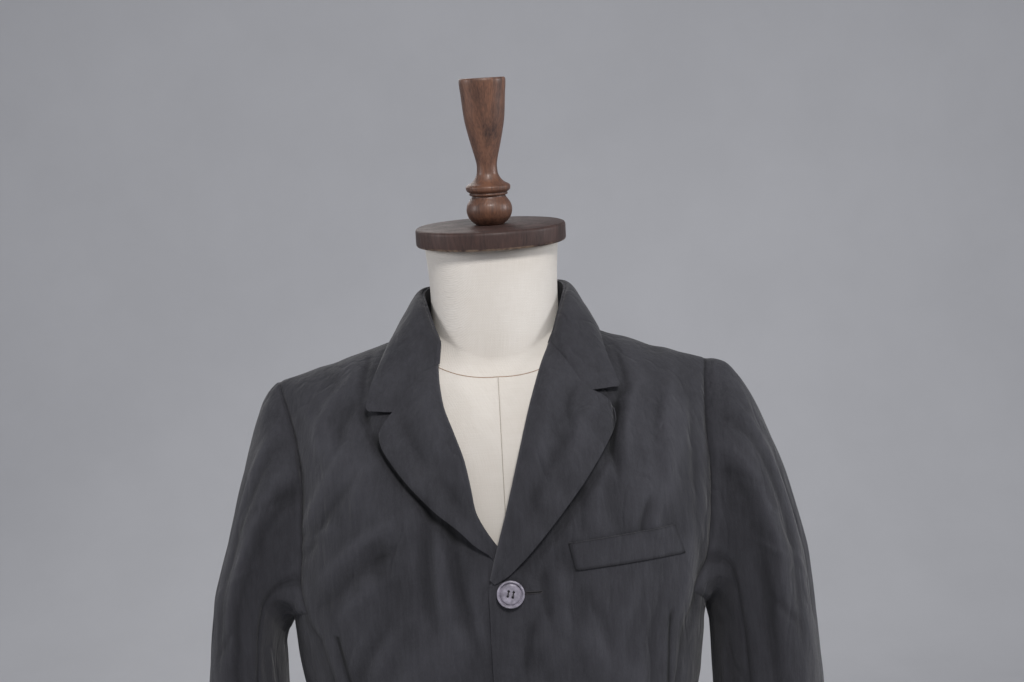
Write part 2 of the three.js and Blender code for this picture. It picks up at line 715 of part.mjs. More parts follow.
// Dress form: a limbless torso with a neck, closed at the shoulders
const FORM_SIDES = 40;
const FORM_BOTTOM = -765;
const TILT = THREE.MathUtils.degToRad(10.6); // the neck's top leans forward
const CAP = { radius: 72.5, thick: 17.5, y: -18, under: 96.5 };
const NECK = { across: 64.5, deep: 60 };
const NECK_FOOT = { across: 63.5, deep: 64, y: 0 };
// Room between the form and the cloth's middle. Columns: z, room
const FORM_EASE = [[30, 3.4], [-28, 3.4], [-60, 5], [-110, 8], [-160, 10], [-800, 10]];
const ease = curve(FORM_EASE);

function topOf(x, y) {
  const front = y < RIDGE_Y;
  const drop = front ? FRONT_DROP : BACK_DROP;
  const power = front ? FRONT_POWER : BACK_POWER;
  const top = shoulder(Math.abs(x));
  let z = top;
  for (let pass = 0; pass < 40; pass += 1) {
    const ratio = Math.min(1, Math.abs(x) / halfWidth(z));
    const room = (1 - ratio ** PLAN_POWER) ** (1 / PLAN_POWER);
    const depth = (front ? frontDepth : backDepth)(z) * room;
    const across = Math.min(1, Math.abs(y - RIDGE_Y) / Math.max(depth, 1e-6));
    z = mix(z, top - drop * (1 - (1 - across ** power) ** (1 / power)), 0.6);
  }
  return z;
}

{
  const around = Array.from({ length: FORM_SIDES }, (_, k) => (k * 2 * Math.PI) / FORM_SIDES);
  const inward = (p) => p.clone().addScaledVector(outward(p), -ease(p.z));
  const plan = (turn, z) => {
    const width = halfWidth(z) * 0.999;
    const depth = (Math.sin(turn) < 0 ? frontDepth : backDepth)(z);
    const share = (value) => Math.sign(value) * Math.abs(value) ** (2 / PLAN_POWER);
    return [width * share(Math.cos(turn)), RIDGE_Y + depth * share(Math.sin(turn))];
  };
  const fullest = (turn) => {
    const drop = Math.sin(turn) < 0 ? FRONT_DROP : BACK_DROP;
    const [x] = plan(turn, -150);
    return shoulder(Math.abs(x)) - drop;
  };
  const rings = [];
  for (const z of [FORM_BOTTOM, -700, -600, -480, -430, -390, -340, -280, -220]) {
    rings.push(around.map((turn) => inward(new THREE.Vector3(...plan(turn, z), z))));
  }
  rings[0].forEach((p) => { p.z = FORM_BOTTOM; });
  const girth = around.map((turn) => new THREE.Vector3(...plan(turn, fullest(turn)), fullest(turn)));
  const foot = around.map((turn) => new THREE.Vector2(
    NECK_FOOT.across * Math.cos(turn), NECK_FOOT.y + NECK_FOOT.deep * Math.sin(turn)));
  for (const degrees of [90, 74, 60, 47, 34, 20, 8]) {
    const share = Math.sin(THREE.MathUtils.degToRad(degrees));
    rings.push(around.map((_, k) => {
      if (degrees === 90) return inward(girth[k]);
      const x = mix(foot[k].x, girth[k].x, share);
      const y = mix(foot[k].y, girth[k].y, share);
      return inward(new THREE.Vector3(x, y, topOf(x, y)));
    }));
  }
  const neckTop = around.map((turn) => new THREE.Vector3(
    NECK.across * Math.cos(turn),
    CAP.y + NECK.deep * Math.sin(turn) * Math.cos(TILT),
    CAP.under - GAP + NECK.deep * Math.sin(turn) * Math.sin(TILT)));
  const neckFoot = foot.map((p) => {
    const q = new THREE.Vector3(p.x, p.y, topOf(p.x, p.y));
    return new THREE.Vector3(q.x * 0.985, q.y * 0.985, q.z);
  });
  rings.push(neckFoot);
  for (const rise of [0.16, 0.42, 0.72]) {
    rings.push(neckTop.map((p, k) => {
      const q = neckFoot[k].clone().lerp(p, rise);
      const waist = 1 - 0.025 * Math.sin(rise * Math.PI);
      return new THREE.Vector3(q.x * waist, q.y, q.z);
    }));
  }
  rings.push(neckTop);
  const positions = [];
  const index = [];
  for (const ring of rings) for (const p of ring) positions.push(swayed(p.x, p.z), p.y, p.z + EYE);
  rings.slice(1).forEach((_, r) => around.forEach((__, k) => {
    const next = (k + 1) % FORM_SIDES;
    const low = r * FORM_SIDES;
    const high = low + FORM_SIDES;
    index.push(low + k, low + next, high + next, low + k, high + next, high + k);
  }));
  const ends = [[0, 0, RIDGE_Y, FORM_BOTTOM], [rings.length - 1, 0, CAP.y, CAP.under - GAP]];
  ends.forEach(([r, x, y, z]) => {
    const centre = positions.length / 3;
    positions.push(x, y, z + EYE);
    around.forEach((_, k) => {
      const next = (k + 1) % FORM_SIDES;
      const edge = [r * FORM_SIDES + k, r * FORM_SIDES + next];
      index.push(centre, ...(r === 0 ? edge.reverse() : edge));
    });
  });
  add("form_body", closed(positions, index), LINEN);
}

// Neck cap and turned finial, both on the leaning axis
const CAP_PROFILE = [
  [0, 0], [70.5, 0], [72, 1.2], [72.5, 3.5], [72.5, 14], [71.8, 16.4], [70, 17.5], [0, 17.5],
];
const FINIAL_PROFILE = [
  [0, 0], [13.5, 0], [17.2, 3], [21, 8.5], [22.1, 14], [21.2, 19], [18.6, 23.5], [17, 26],
  [17.2, 27.5], [20, 29.5], [21.2, 33], [21, 37], [19, 40.5], [15, 42.5], [11.8, 45.5],
  [9.9, 50], [9.7, 56], [10.6, 62], [12.8, 71], [16.4, 86], [19.3, 101], [21.3, 124],
  [22.3, 136], [21.6, 138.6], [20, 139], [0, 139],
];
function onNeck(name, profile, sides, height, material) {
  const piece = add(name, turned(profile, sides), material);
  piece.rotation.x = TILT;
  piece.position.set(0, CAP.y - Math.sin(TILT) * height, CAP.under + EYE + Math.cos(TILT) * height);
}
onNeck("neck_cap", CAP_PROFILE, 40, 0, CAP_WOOD);
onNeck("finial", FINIAL_PROFILE, 20, CAP.thick + 0.3, TURNED_WOOD);

// Plain stand under the form
const BASE = { radius: 165, thick: 26 };
const POLE_RADIUS = 19;
const poleTop = EYE + FORM_BOTTOM - 0.3;
add("pole", turned([[0, 0], [POLE_RADIUS, 0], [POLE_RADIUS, poleTop - BASE.thick - 0.3],
  [0, poleTop - BASE.thick - 0.3]], 28), CAP_WOOD).position.z = BASE.thick + 0.3;
add("base", turned([[0, 0], [BASE.radius - 2, 0], [BASE.radius, 2], [BASE.radius, 18],
  [BASE.radius - 4, 24], [BASE.radius - 10, BASE.thick], [0, BASE.thick]], 56), CAP_WOOD);

export default model;
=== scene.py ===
"""Soft notch-lapel blazer on a limbless dress form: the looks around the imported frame."""

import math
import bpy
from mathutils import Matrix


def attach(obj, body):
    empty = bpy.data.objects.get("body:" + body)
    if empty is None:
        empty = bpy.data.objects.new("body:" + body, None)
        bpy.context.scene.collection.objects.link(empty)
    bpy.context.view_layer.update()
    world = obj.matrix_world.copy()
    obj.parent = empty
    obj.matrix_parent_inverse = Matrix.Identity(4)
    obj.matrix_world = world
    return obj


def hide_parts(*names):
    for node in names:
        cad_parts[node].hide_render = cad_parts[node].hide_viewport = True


bl_info = {
    "name": "Blazer on dress form",
    "version": (1, 0, 0),
    "blender": (4, 5, 0),
    "location": "View3D > Sidebar > Blazer",
    "description": "Builds a soft unstructured blazer and the dress form that it hangs on",
    "category": "Add Mesh",
}

import bmesh
import bpy
import numpy as np
from bpy.props import FloatProperty, FloatVectorProperty, PointerProperty
from mathutils import Matrix, Vector

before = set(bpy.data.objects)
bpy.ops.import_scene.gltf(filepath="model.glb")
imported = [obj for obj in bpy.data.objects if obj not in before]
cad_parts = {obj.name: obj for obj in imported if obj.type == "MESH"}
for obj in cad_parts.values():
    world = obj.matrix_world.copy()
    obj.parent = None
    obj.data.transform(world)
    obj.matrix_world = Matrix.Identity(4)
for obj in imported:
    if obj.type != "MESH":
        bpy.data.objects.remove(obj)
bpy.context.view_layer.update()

# Millimetres. x runs to the wearer's left, y to the back, and z counts from the eye's height
MM = 0.001
EYE = 915
WALL = 2
LAYER_GAP = 1.2
ON_PANEL = WALL + LAYER_GAP
FRONT, BACK = -1, 1
LEFT, RIGHT = 1, -1
SIDE_NAME = {LEFT: "left", RIGHT: "right"}

# The shoulder ridge's y, the roundness of a body section, and for front and back the height in
# which the cloth turns down from the ridge, and how squarely it does
RIDGE_Y = 5
PLAN_POWER = 2.6
DROP = {FRONT: 150, BACK: 120}
POWER = {FRONT: 2, BACK: 3}

# Hem, armpit, the armpit's lowest place, the height in which the armhole passes into the side
# seam, how far the left front laps over, and the back neck's half-width and depth
HEM = -705
ARMPIT = -243
ARMPIT_MIDDLE = {LEFT: -260, RIGHT: -250}
SEAM_BLEND = 23
LAP = 1.3
NECK_WIDTH = 73
NECK_W = 0.45

# Rounds and largest step of the searches for a place on the surface
KEEP_OUT_ROUNDS = 8
KEEP_OUT_STEP = 12
SEARCH_ROUNDS = 40


def near(away, reach):
    """1 on a line, fading out within about twice the reach."""
    return np.exp(-((away / reach) ** 2))


def smoothstep(value, low, high):
    """0 below the low value, 1 above the high one, and a soft step between them."""
    t = np.clip((value - low) / (high - low), 0, 1)
    return t * t * (3 - 2 * t)


def curve(rows, column=1):
    """A smooth curve through a short table, with its input in the first column."""
    table = sorted((row[0], row[column]) for row in rows)
    x = np.array([row[0] for row in table], float)
    y = np.array([row[1] for row in table], float)
    span = np.diff(x)
    chord = np.diff(y) / span
    inner = np.zeros(len(x))
    same = chord[:-1] * chord[1:] > 0
    mean = 2 * chord[:-1] * chord[1:] / np.where(same, chord[:-1] + chord[1:], 1)
    inner[1:-1] = np.where(same, mean, 0)

    def at(value):
        value = np.asarray(value, float)
        k = np.clip(np.searchsorted(x, value, side="right") - 1, 0, len(x) - 2)
        t = np.clip((value - x[k]) / span[k], 0, 1)
        start = np.where(k == 0, chord[k], inner[k])
        end = np.where(k == len(x) - 2, chord[k], inner[k + 1])
        square, cube = t * t, t**3
        return (
            y[k] * (2 * cube - 3 * square + 1)
            + span[k] * start * (cube - 2 * square + t)
            + y[k + 1] * (3 * square - 2 * cube)
            + span[k] * end * (cube - square)
        )

    return at


# Body sections. Columns: z, half-width, depth in front of the ridge, depth behind it
BODY = [
    (20, 215, 100, 98),
    (-28, 214, 106, 106),
    (-100, 210, 120, 118),
    (-180, 205, 129, 119),
    (-258, 197, 128, 110),
    (-320, 189, 122, 100),
    (-390, 174, 115, 92),
    (-480, 180, 118, 100),
    (-600, 191, 124, 110),
    (-705, 197, 127, 116),
    (-800, 198, 127, 116),
]
half_width = curve(BODY, 1)
depth_of = {FRONT: curve(BODY, 2), BACK: curve(BODY, 3)}
shoulder = curve([(0, 20), (60, 17), (100, 6), (150, -10), (190, -22), (208, -28), (230, -35)])

# Largest folds of the body. Columns: front or back, x, z, x, z, half-width, height
BODY_FOLDS = [
    (FRONT, 175, -70, 120, -165, 16, 3),
    (FRONT, -175, -75, -110, -175, 16, 3),
    (FRONT, -150, -120, -90, -225, 12, -2.5),
    (FRONT, 60, -260, 120, -330, 16, 2.5),
    (FRONT, -40, -260, -120, -340, 16, 3),
    (FRONT, 70, -420, 95, -640, 22, 3.5),
    (FRONT, -75, -410, -105, -630, 22, 3.5),
    (BACK, 150, -90, 60, -200, 20, 3),
    (BACK, -150, -90, -70, -210, 20, 3),
    (BACK, 90, -350, 30, -470, 20, -3),
    (BACK, -95, -345, -35, -460, 20, -3),
    (BACK, 70, -480, 85, -660, 24, 4),
    (BACK, -75, -490, -90, -660, 24, 4),
]

# Creases, placed one by one. Columns: front or back, x, z, x, z, bow, half-width, height
CREASES = [
    (FRONT, 116, -50, 104, -124, 6, 5, -4.2),
    (FRONT, 104, -92, 62, -150, -3, 5, -2.2),
    (FRONT, 66, -146, 26, -192, -2, 5, -2.0),
    (FRONT, -126, -54, -112, -96, 2, 6, -3.0),
    (FRONT, -116, -88, -74, -142, 3, 5, -3.0),
    (FRONT, -82, -136, -30, -186, 3, 6, -3.4),
    (FRONT, -118, -2, -126, -58, 2, 5, -2.0),
    (FRONT, 112, -6, 120, -52, -2, 5, -2.0),
    (FRONT, 132, -44, 116, -118, 6, 6, 1.8),
    (FRONT, 134, -146, 121, -182, 2, 5, -3.0),
    (FRONT, 144, -140, 134, -180, 2, 6, 1.6),
    (FRONT, 181, -196, 172, -276, -4, 7, -3.2),
    (FRONT, 166, -190, 158, -262, -3, 7, 1.9),
    (FRONT, 186, -60, 178, -190, 3, 5, -1.8),
    (FRONT, 168, -46, 150, -150, 6, 8, 2.2),
    (FRONT, 154, -60, 140, -138, 4, 6, -1.8),
    (FRONT, 34, -202, 36, -252, 3, 6, -2.6),
    (FRONT, 48, -204, 52, -262, 3, 7, 1.8),
    (FRONT, 24, -248, 10, -300, 3, 6, -2.2),
    (FRONT, 92, -110, 84, -172, 3, 6, 1.4),
    (FRONT, 74, -128, 70, -176, 2, 5, -1.5),
    (FRONT, 120, -216, 96, -300, 4, 8, 1.8),
    (FRONT, 140, -232, 126, -330, 3, 7, -1.6),
    (FRONT, 66, -226, 90, -300, -6, 8, -1.4),
    (FRONT, 60, -330, 120, -352, -6, 8, 2.2),
    (FRONT, 44, -352, 118, -392, -8, 8, -2.0),
    (FRONT, 100, -430, 70, -560, 8, 9, -2.2),
    (FRONT, 132, -450, 128, -640, 6, 10, 2.4),
    (FRONT, 32, -470, 40, -620, 5, 9, 1.8),
    (FRONT, -143, -34, -178, -92, 4, 6, 2.6),
    (FRONT, -128, -44, -160, -108, 5, 6, -2.0),
    (FRONT, -112, -96, -140, -150, 5, 7, 1.8),
    (FRONT, -150, -100, -193, -168, 4, 6, 2.8),
    (FRONT, -138, -118, -186, -190, 5, 6, -2.4),
    (FRONT, -160, -162, -193, -186, 3, 4, 2.0),
    (FRONT, -100, -158, -164, -208, 6, 7, 2.8),
    (FRONT, -90, -176, -160, -232, 6, 7, -2.4),
    (FRONT, -98, -204, -150, -250, 6, 7, 1.9),
    (FRONT, -69, -136, -67, -254, 3, 8, -3.0),
    (FRONT, -60, -172, -50, -268, 4, 8, 2.6),
    (FRONT, -50, -158, -33, -268, 4, 7, -2.8),
    (FRONT, -30, -206, -22, -276, 2, 6, 1.8),
    (FRONT, -86, -244, -120, -300, 5, 7, 1.8),
    (FRONT, -108, -252, -140, -320, 4, 7, -1.9),
    (FRONT, -66, -340, -124, -366, 6, 8, -2.2),
    (FRONT, -40, -372, -112, -400, 7, 8, 2.1),
    (FRONT, -110, -440, -86, -570, -8, 9, -2.3),
    (FRONT, -136, -470, -130, -650, -6, 10, 2.4),
    (FRONT, -40, -480, -52, -640, -5, 9, 1.9),
    (BACK, 184, -70, 170, -230, 5, 8, -2.4),
    (BACK, 150, -60, 110, -160, 8, 8, 2.0),
    (BACK, 120, -120, 40, -190, 10, 9, -1.8),
    (BACK, 60, -40, 20, -96, 5, 8, 1.6),
    (BACK, 150, -240, 100, -330, 8, 8, 2.0),
    (BACK, 128, -330, 50, -372, 9, 8, 2.4),
    (BACK, 120, -366, 40, -410, 9, 8, -2.2),
    (BACK, 60, -430, 48, -620, 6, 10, -2.2),
    (BACK, 110, -470, 118, -660, 6, 10, 2.2),
    (BACK, -186, -66, -172, -236, -5, 8, -2.4),
    (BACK, -146, -64, -100, -150, -8, 8, 2.0),
    (BACK, -128, -130, -36, -206, -10, 9, -1.9),
    (BACK, -50, -36, -24, -104, -5, 8, 1.5),
    (BACK, -156, -250, -92, -322, -8, 8, 2.0),
    (BACK, -120, -342, -44, -360, -9, 8, 2.2),
    (BACK, -132, -378, -30, -424, -9, 8, -2.3),
    (BACK, -52, -440, -60, -630, -6, 10, -2.0),
    (BACK, -104, -480, -112, -650, -6, 10, 2.3),
]
CREASE_SHARPNESS = 0.8
RUMPLE_WAVES = 7
GOLDEN_TURN = 2.39996

# Stitched darts of the fronts, pressed flat. Columns: x, z, x, z
DARTS = [
    (151, -254, 146, -322),
    (146, -322, 138, -430),
    (-152, -260, -141, -312),
    (-141, -312, -132, -430),
]
DART_WIDTH = 1.9


def from_line(x, z, x0, z0, x1, z1):
    """How far along a line a place lies, 0 to 1 between its ends, and how far beside it."""
    length = math.hypot(x1 - x0, z1 - z0)
    t = ((x - x0) * (x1 - x0) + (z - z0) * (z1 - z0)) / length**2
    beside = ((x - x0) * (z1 - z0) - (z - z0) * (x1 - x0)) / length
    return t, beside


def ridge(x, z, x0, z0, x1, z1, bow, width, height):
    """A soft trough or ridge along a bowed line that fades at both ends."""
    t, beside = from_line(x, z, x0, z0, x1, z1)
    beside = beside - bow * (1 - (2 * np.clip(t, 0, 1) - 1) ** 2)
    return height * np.exp(-(np.abs(2 * t - 1) ** 4)) * near(beside, width)


def body_fold(x, z, side):
    """Height of the largest folds at a place of the body."""
    total = np.zeros(np.shape(x))
    for where, x0, z0, x1, z1, width, height in BODY_FOLDS:
        total = total + np.where(side == where, ridge(x, z, x0, z0, x1, z1, 0, width, height), 0)
    return total


def rumple(u, v, long, short, seed):
    """Uneven ripples, longer along v than along u, between about -1 and 1."""
    total = np.zeros(np.shape(u))
    for k in range(RUMPLE_WAVES):
        turn = seed + GOLDEN_TURN * k
        lean = 0.35 * math.sin(turn * 1.7)
        wave = 1 + 0.23 * k
        bend = 0.9 * np.sin(v / (long * 1.3) + turn * 2.1)
        across = np.sin(wave * (u / short + lean * v / short) + bend + turn)
        along_v = np.cos(v / long * (0.7 + 0.31 * k) + turn * 3.3)
        total = total + across * along_v
    return total / math.sqrt(RUMPLE_WAVES) * 0.7


def dart_line(x, z, side):
    """1 on a dart's seam, 0 away from it."""
    total = np.zeros(np.shape(x))
    for row in DARTS:
        t, beside = from_line(x, z, *row)
        inside = smoothstep(t, -0.01, 0.02) * (1 - smoothstep(t, 0.98, 1.01))
        line = np.where(side == FRONT, inside, 0) * near(beside, DART_WIDTH)
        total = np.maximum(total, line)
    return total


def body_crease(x, z, side):
    """Height of the smaller creases at a place of the body."""
    total = 0.75 * rumple(x, z, 55, 13, 1.0) + 0.5 * rumple(x + z * 0.5, z - x * 0.4, 30, 9, 4.0)
    for where, x0, z0, x1, z1, bow, width, height in CREASES:
        fold = ridge(x, z, x0, z0, x1, z1, bow, width * CREASE_SHARPNESS, height)
        total = total + np.where(side == where, fold, 0)
    return total


def level(p):
    """Above 0 outside the cloth's middle surface, below 0 inside it."""
    x, y, z = p[..., 0], p[..., 1], p[..., 2]
    front = y < RIDGE_Y
    drop = np.where(front, DROP[FRONT], DROP[BACK])
    power = np.where(front, POWER[FRONT], POWER[BACK])
    plan = (np.abs(x) / half_width(z)) ** PLAN_POWER
    depth = np.where(front, depth_of[FRONT](z), depth_of[BACK](z))
    down = np.maximum(0, 1 - (shoulder(np.abs(x)) - z) / drop)
    room = np.maximum(1 - plan, 1e-4) ** (1 / PLAN_POWER)
    beyond = np.maximum(0, plan - 1 + 1e-4) * 50
    return (np.abs(y - RIDGE_Y) / depth / room) ** power + down**power - 1 + beyond


def slope_of(p):
    """The way in which the level grows fastest, and how fast."""
    step = 0.5
    parts = []
    for axis in range(3):
        move = np.zeros(3)
        move[axis] = step
        parts.append((level(p + move) - level(p - move)) / (2 * step))
    return np.stack(parts, -1)


def unit(v):
    return v / np.maximum(np.linalg.norm(v, axis=-1, keepdims=True), 1e-9)


def outward(p):
    return unit(slope_of(p))


def on_body(x, w, side):
    """Points of the surface: w is 0 at the shoulder seam, 1 at the fullest part, 2 at the hem."""
    x, w = np.broadcast_arrays(np.asarray(x, float), np.asarray(w, float))
    top = shoulder(np.abs(x))
    angle = np.minimum(w, 1) * math.pi / 2
    share = 2 / POWER[side]
    z = top - DROP[side] * (1 - np.maximum(np.cos(angle), 0) ** share)
    z = np.where(w > 1, top - DROP[side] + (w - 1) * (HEM - top + DROP[side]), z)
    ratio = np.minimum(1, np.abs(x) / half_width(z))
    room = (1 - ratio**PLAN_POWER) ** (1 / PLAN_POWER)
    depth = depth_of[side](z) * room * np.sin(angle) ** share
    return np.stack([x, RIDGE_Y + side * depth, z], -1)


def w_at(x, z, side):
    """The w of the surface's point at an x and a height."""
    below = shoulder(np.abs(x)) - z
    cosine = np.maximum(0, 1 - np.maximum(0, below) / DROP[side]) ** (POWER[side] / 2)
    upper = np.arccos(np.minimum(cosine, 1)) * 2 / math.pi
    lower = 1 + (below - DROP[side]) / (shoulder(np.abs(x)) - DROP[side] - HEM)
    return np.where(below >= DROP[side], lower, upper)


def on_front(x, z):
    return on_body(x, w_at(x, z, FRONT), FRONT)


def side_of(p):
    return np.where(p[..., 1] < RIDGE_Y, FRONT, BACK)


def lift(p, out):
    """Surface points moved out, with the largest folds under them."""
    rise = out + body_fold(p[..., 0], p[..., 2], side_of(p))
    return p + outward(p) * rise[..., None]


def keep_out(p, out):
    """Points moved away from the body until they stand out from its folds by at least so much."""
    q = p.copy()
    for _ in range(KEEP_OUT_ROUNDS):
        slope = slope_of(q)
        size = np.linalg.norm(slope, axis=-1)
        wanted = out + body_fold(q[..., 0], q[..., 2], side_of(q))
        move = np.clip(wanted - level(q) / size, 0, KEEP_OUT_STEP)
        q = q + slope / size[..., None] * move[..., None]
    return q


# How far the jacket hangs off its middle, towards the wearer's left, from no shift at x 0 to the
# whole one at the width. Columns: z, shift of the left side, shift of the right side
SWAY = [
    (60, 0, 0), (20, -4, -4), (-28, -6, -6), (-60, -5.5, -1), (-90, -4.5, 4), (-125, -2, 6),
    (-175, -1, 1), (-205, -1.5, -6), (-240, -6, -12), (-280, -10, -13), (-340, -9, -13),
    (-450, -8, -11), (-600, -5, -6), (-705, -3, -4), (-800, -3, -4),
]
SWAY_WIDTH = 190
left_sway = curve(SWAY, 1)
right_sway = curve(SWAY, 2)


def swayed(points):
    """Points of the cloth and the form, moved by the jacket's hang."""
    x, z = points[..., 0], points[..., 2]
    share = np.minimum(1, (x / SWAY_WIDTH) ** 2)
    moved = x + np.where(x > 0, left_sway(z), right_sway(z)) * share
    return np.stack([moved, points[..., 1], z], -1)


def refine(values, steps):
    """A table's column with steps places between each two of its entries."""
    values = np.asarray(values, float)
    places = np.linspace(0, len(values) - 1, (len(values) - 1) * steps + 1)
    return np.interp(places, np.arange(len(values)), values)


# Armhole edge. Columns: z, x of the front's edge, x of the back's
ARMHOLE = [
    (-28, 208, 208),
    (-40, 205, 206),
    (-60, 202, 204),
    (-100, 198, 200),
    (-140, 196, 198),
    (-180, 193, 196),
    (-212, 188, 191),
    (ARMPIT, 178, 182),
]
# Side panel's seams, as shares of the half-width. Columns: z, seam to the front, seam to the back
SIDE_SEAMS = [
    (ARMPIT, 0.9, 0.92),
    (-266, 0.85, 0.88),
    (-320, 0.815, 0.84),
    (-390, 0.81, 0.82),
    (HEM, 0.8, 0.81),
]
COLUMN = {FRONT: 1, BACK: 2}


def outer_edge(z, side):
    """x of a panel's outer edge: the armhole, and below it the seam to the side panel."""
    column = COLUMN[side]
    above = curve(ARMHOLE, column)(z)
    below = curve(SIDE_SEAMS, column)(z) * half_width(z)
    t = np.clip((ARMPIT - z) / SEAM_BLEND, 0, 1)
    between = ARMHOLE[-1][column] * (1 - t) + below * t
    return np.where(z > ARMPIT, above, between)


# Front edges from the neck down to the rounded corner. Columns: z, x
LEFT_EDGE = [
    (15, 73), (-2, 58), (-17, 47), (-55, 32), (-102, 18), (-147, 5), (-186, -7), (-210, -15),
    (-228, -18.5), (-560, -18.5), (-620, -10), (-665, 8), (-690, 30), (HEM, 58),
]
RIGHT_EDGE = [
    (15, 73), (-2, 63), (-22, 57), (-52, 54), (-107, 36), (-135, 31), (-155, 28), (-176, 14),
    (-200, -2), (-228, -18.5), (-560, -18.5), (-620, -10), (-665, 8), (-690, 30), (HEM, 58),
]

# Heights of a panel's rows on its outer edge
OUTER_ROWS = [
    -28, -29.2, -33, -41, -53, -71, -96, -126, -156, -184, -214, ARMPIT, -266, -300, -340, -385,
    -430, -480, -530, -580, -630, -668, -690, HEM,
]
ARMHOLE_ROWS = OUTER_ROWS.index(ARMPIT) + 1
ROW_STEPS = 7
FINE_ROWS = refine(OUTER_ROWS, ROW_STEPS)
FINE_ARMHOLE = (ARMHOLE_ROWS - 1) * ROW_STEPS + 1
PANEL_COLUMNS = 121
SIDE_PANEL_COLUMNS = 37


def back_inner(w):
    """x of a back's inner edge: the neckline, and below it the centre seam."""
    depth = np.sin(np.minimum(w, NECK_W) * math.pi / 2) ** (2 / POWER[BACK])
    widest = math.sin(NECK_W * math.pi / 2) ** (2 / POWER[BACK])
    return NECK_WIDTH * np.sqrt(np.maximum(0, 1 - (depth / widest) ** 2))


def edge_at(edge, w):
    """x of a front edge at each w, found by coming nearer to it step by step."""
    x = curve(edge)
    guess = np.full(np.shape(w), 40.0)
    for _ in range(SEARCH_ROUNDS):
        guess = guess * 0.4 + x(on_body(guess, w, FRONT)[..., 2]) * 0.6
    return guess


def panel_grid(hand, side):
    """Middle points of a front or a back, row by row from the shoulder to the hem."""
    outer = outer_edge(FINE_ROWS, side)
    w = w_at(outer, FINE_ROWS, side)
    w[0] = 0
    edge = LEFT_EDGE if hand > 0 else RIGHT_EDGE
    inner = edge_at(edge, w) if side < 0 else back_inner(w)
    u = np.linspace(0, 1, PANEL_COLUMNS)
    x = inner[:, None] * (1 - u) + outer[:, None] * u
    return on_body(hand * x, np.broadcast_to(w[:, None], x.shape), side)


def lap_of(p, hand):
    """How far a front stands out, so that the left one lies over the right one."""
    fade = 1 - smoothstep(p[..., 0] * hand, 20, 90)
    out = hand * LAP * fade * smoothstep(-p[..., 2], 90, 150)
    return np.where(p[..., 1] > RIDGE_Y, 0, out)


def side_grid(hand):
    """Middle points of a side panel, from the armpit's hollow to the hem."""
    rows = FINE_ROWS[FINE_ARMHOLE - 1 :]
    u = np.linspace(0, 1, SIDE_PANEL_COLUMNS)
    height = np.repeat(rows[:, None], SIDE_PANEL_COLUMNS, 1)
    rise = np.clip(1 - np.arange(len(rows)) / ROW_STEPS, 0, 1)[:, None]
    height = height + (ARMPIT_MIDDLE[hand] - ARMPIT) * np.sin(u * math.pi) * rise

    def turn(side):
        share = outer_edge(rows, side) / half_width(rows)
        return np.arccos(share ** (PLAN_POWER / 2))

    angle = -turn(FRONT)[:, None] * (1 - u) + turn(BACK)[:, None] * u
    x = hand * half_width(height) * np.cos(angle) ** (2 / PLAN_POWER)
    depth = np.where(angle < 0, depth_of[FRONT](height), depth_of[BACK](height))
    y = RIDGE_Y + np.sign(angle) * depth * np.abs(np.sin(angle)) ** (2 / PLAN_POWER)
    return np.stack([x, y, height], -1)


# Sleeve sections. Columns: outer z, outer x left, right, inner x left, right, inner z, middle y,
# half-depth
SLEEVE = [
    (-28, 208, 208, 195, 195, -260, 5, 66),
    (-32, 226, 215, 197, 198, -262, 3, 67),
    (-45, 238, 227, 198, 201, -264, 2, 68),
    (-66, 250, 239, 199, 204, -266, 1, 69),
    (-94, 261, 252, 200, 206, -268, 0, 69),
    (-126, 270, 262, 201, 208, -270, -1, 69),
    (-162, 279, 268, 202, 209, -273, -2, 68),
    (-200, 288, 272, 203, 210, -277, -3, 67),
    (-244, 299, 275, 204, 211, -284, -4, 66),
    (-290, 306, 281, 204, 211, -302, -5, 65),
    (-340, 308, 286, 204, 210, -340, -7, 63),
    (-395, 307, 288, 204, 208, -395, -10, 61),
    (-450, 305, 289, 204, 207, -450, -13, 59),
    (-505, 302, 289, 204, 206, -505, -17, 56),
    (-560, 299, 289, 205, 206, -560, -21, 53),
    (-610, 295, 288, 206, 207, -610, -24, 50),
    (-650, 292, 286, 207, 208, -650, -26, 48),
]
# Largest folds of a sleeve. Columns: turn and width in degrees, height, z of its middle, half-length
SLEEVE_FOLDS = [
    (62, 20, 3.5, -250, 190),
    (105, 16, -3, -330, 160),
    (20, 16, -2.5, -300, 200),
    (300, 20, 3, -260, 170),
    (250, 18, -3, -400, 180),
    (180, 22, 2.5, -450, 150),
]
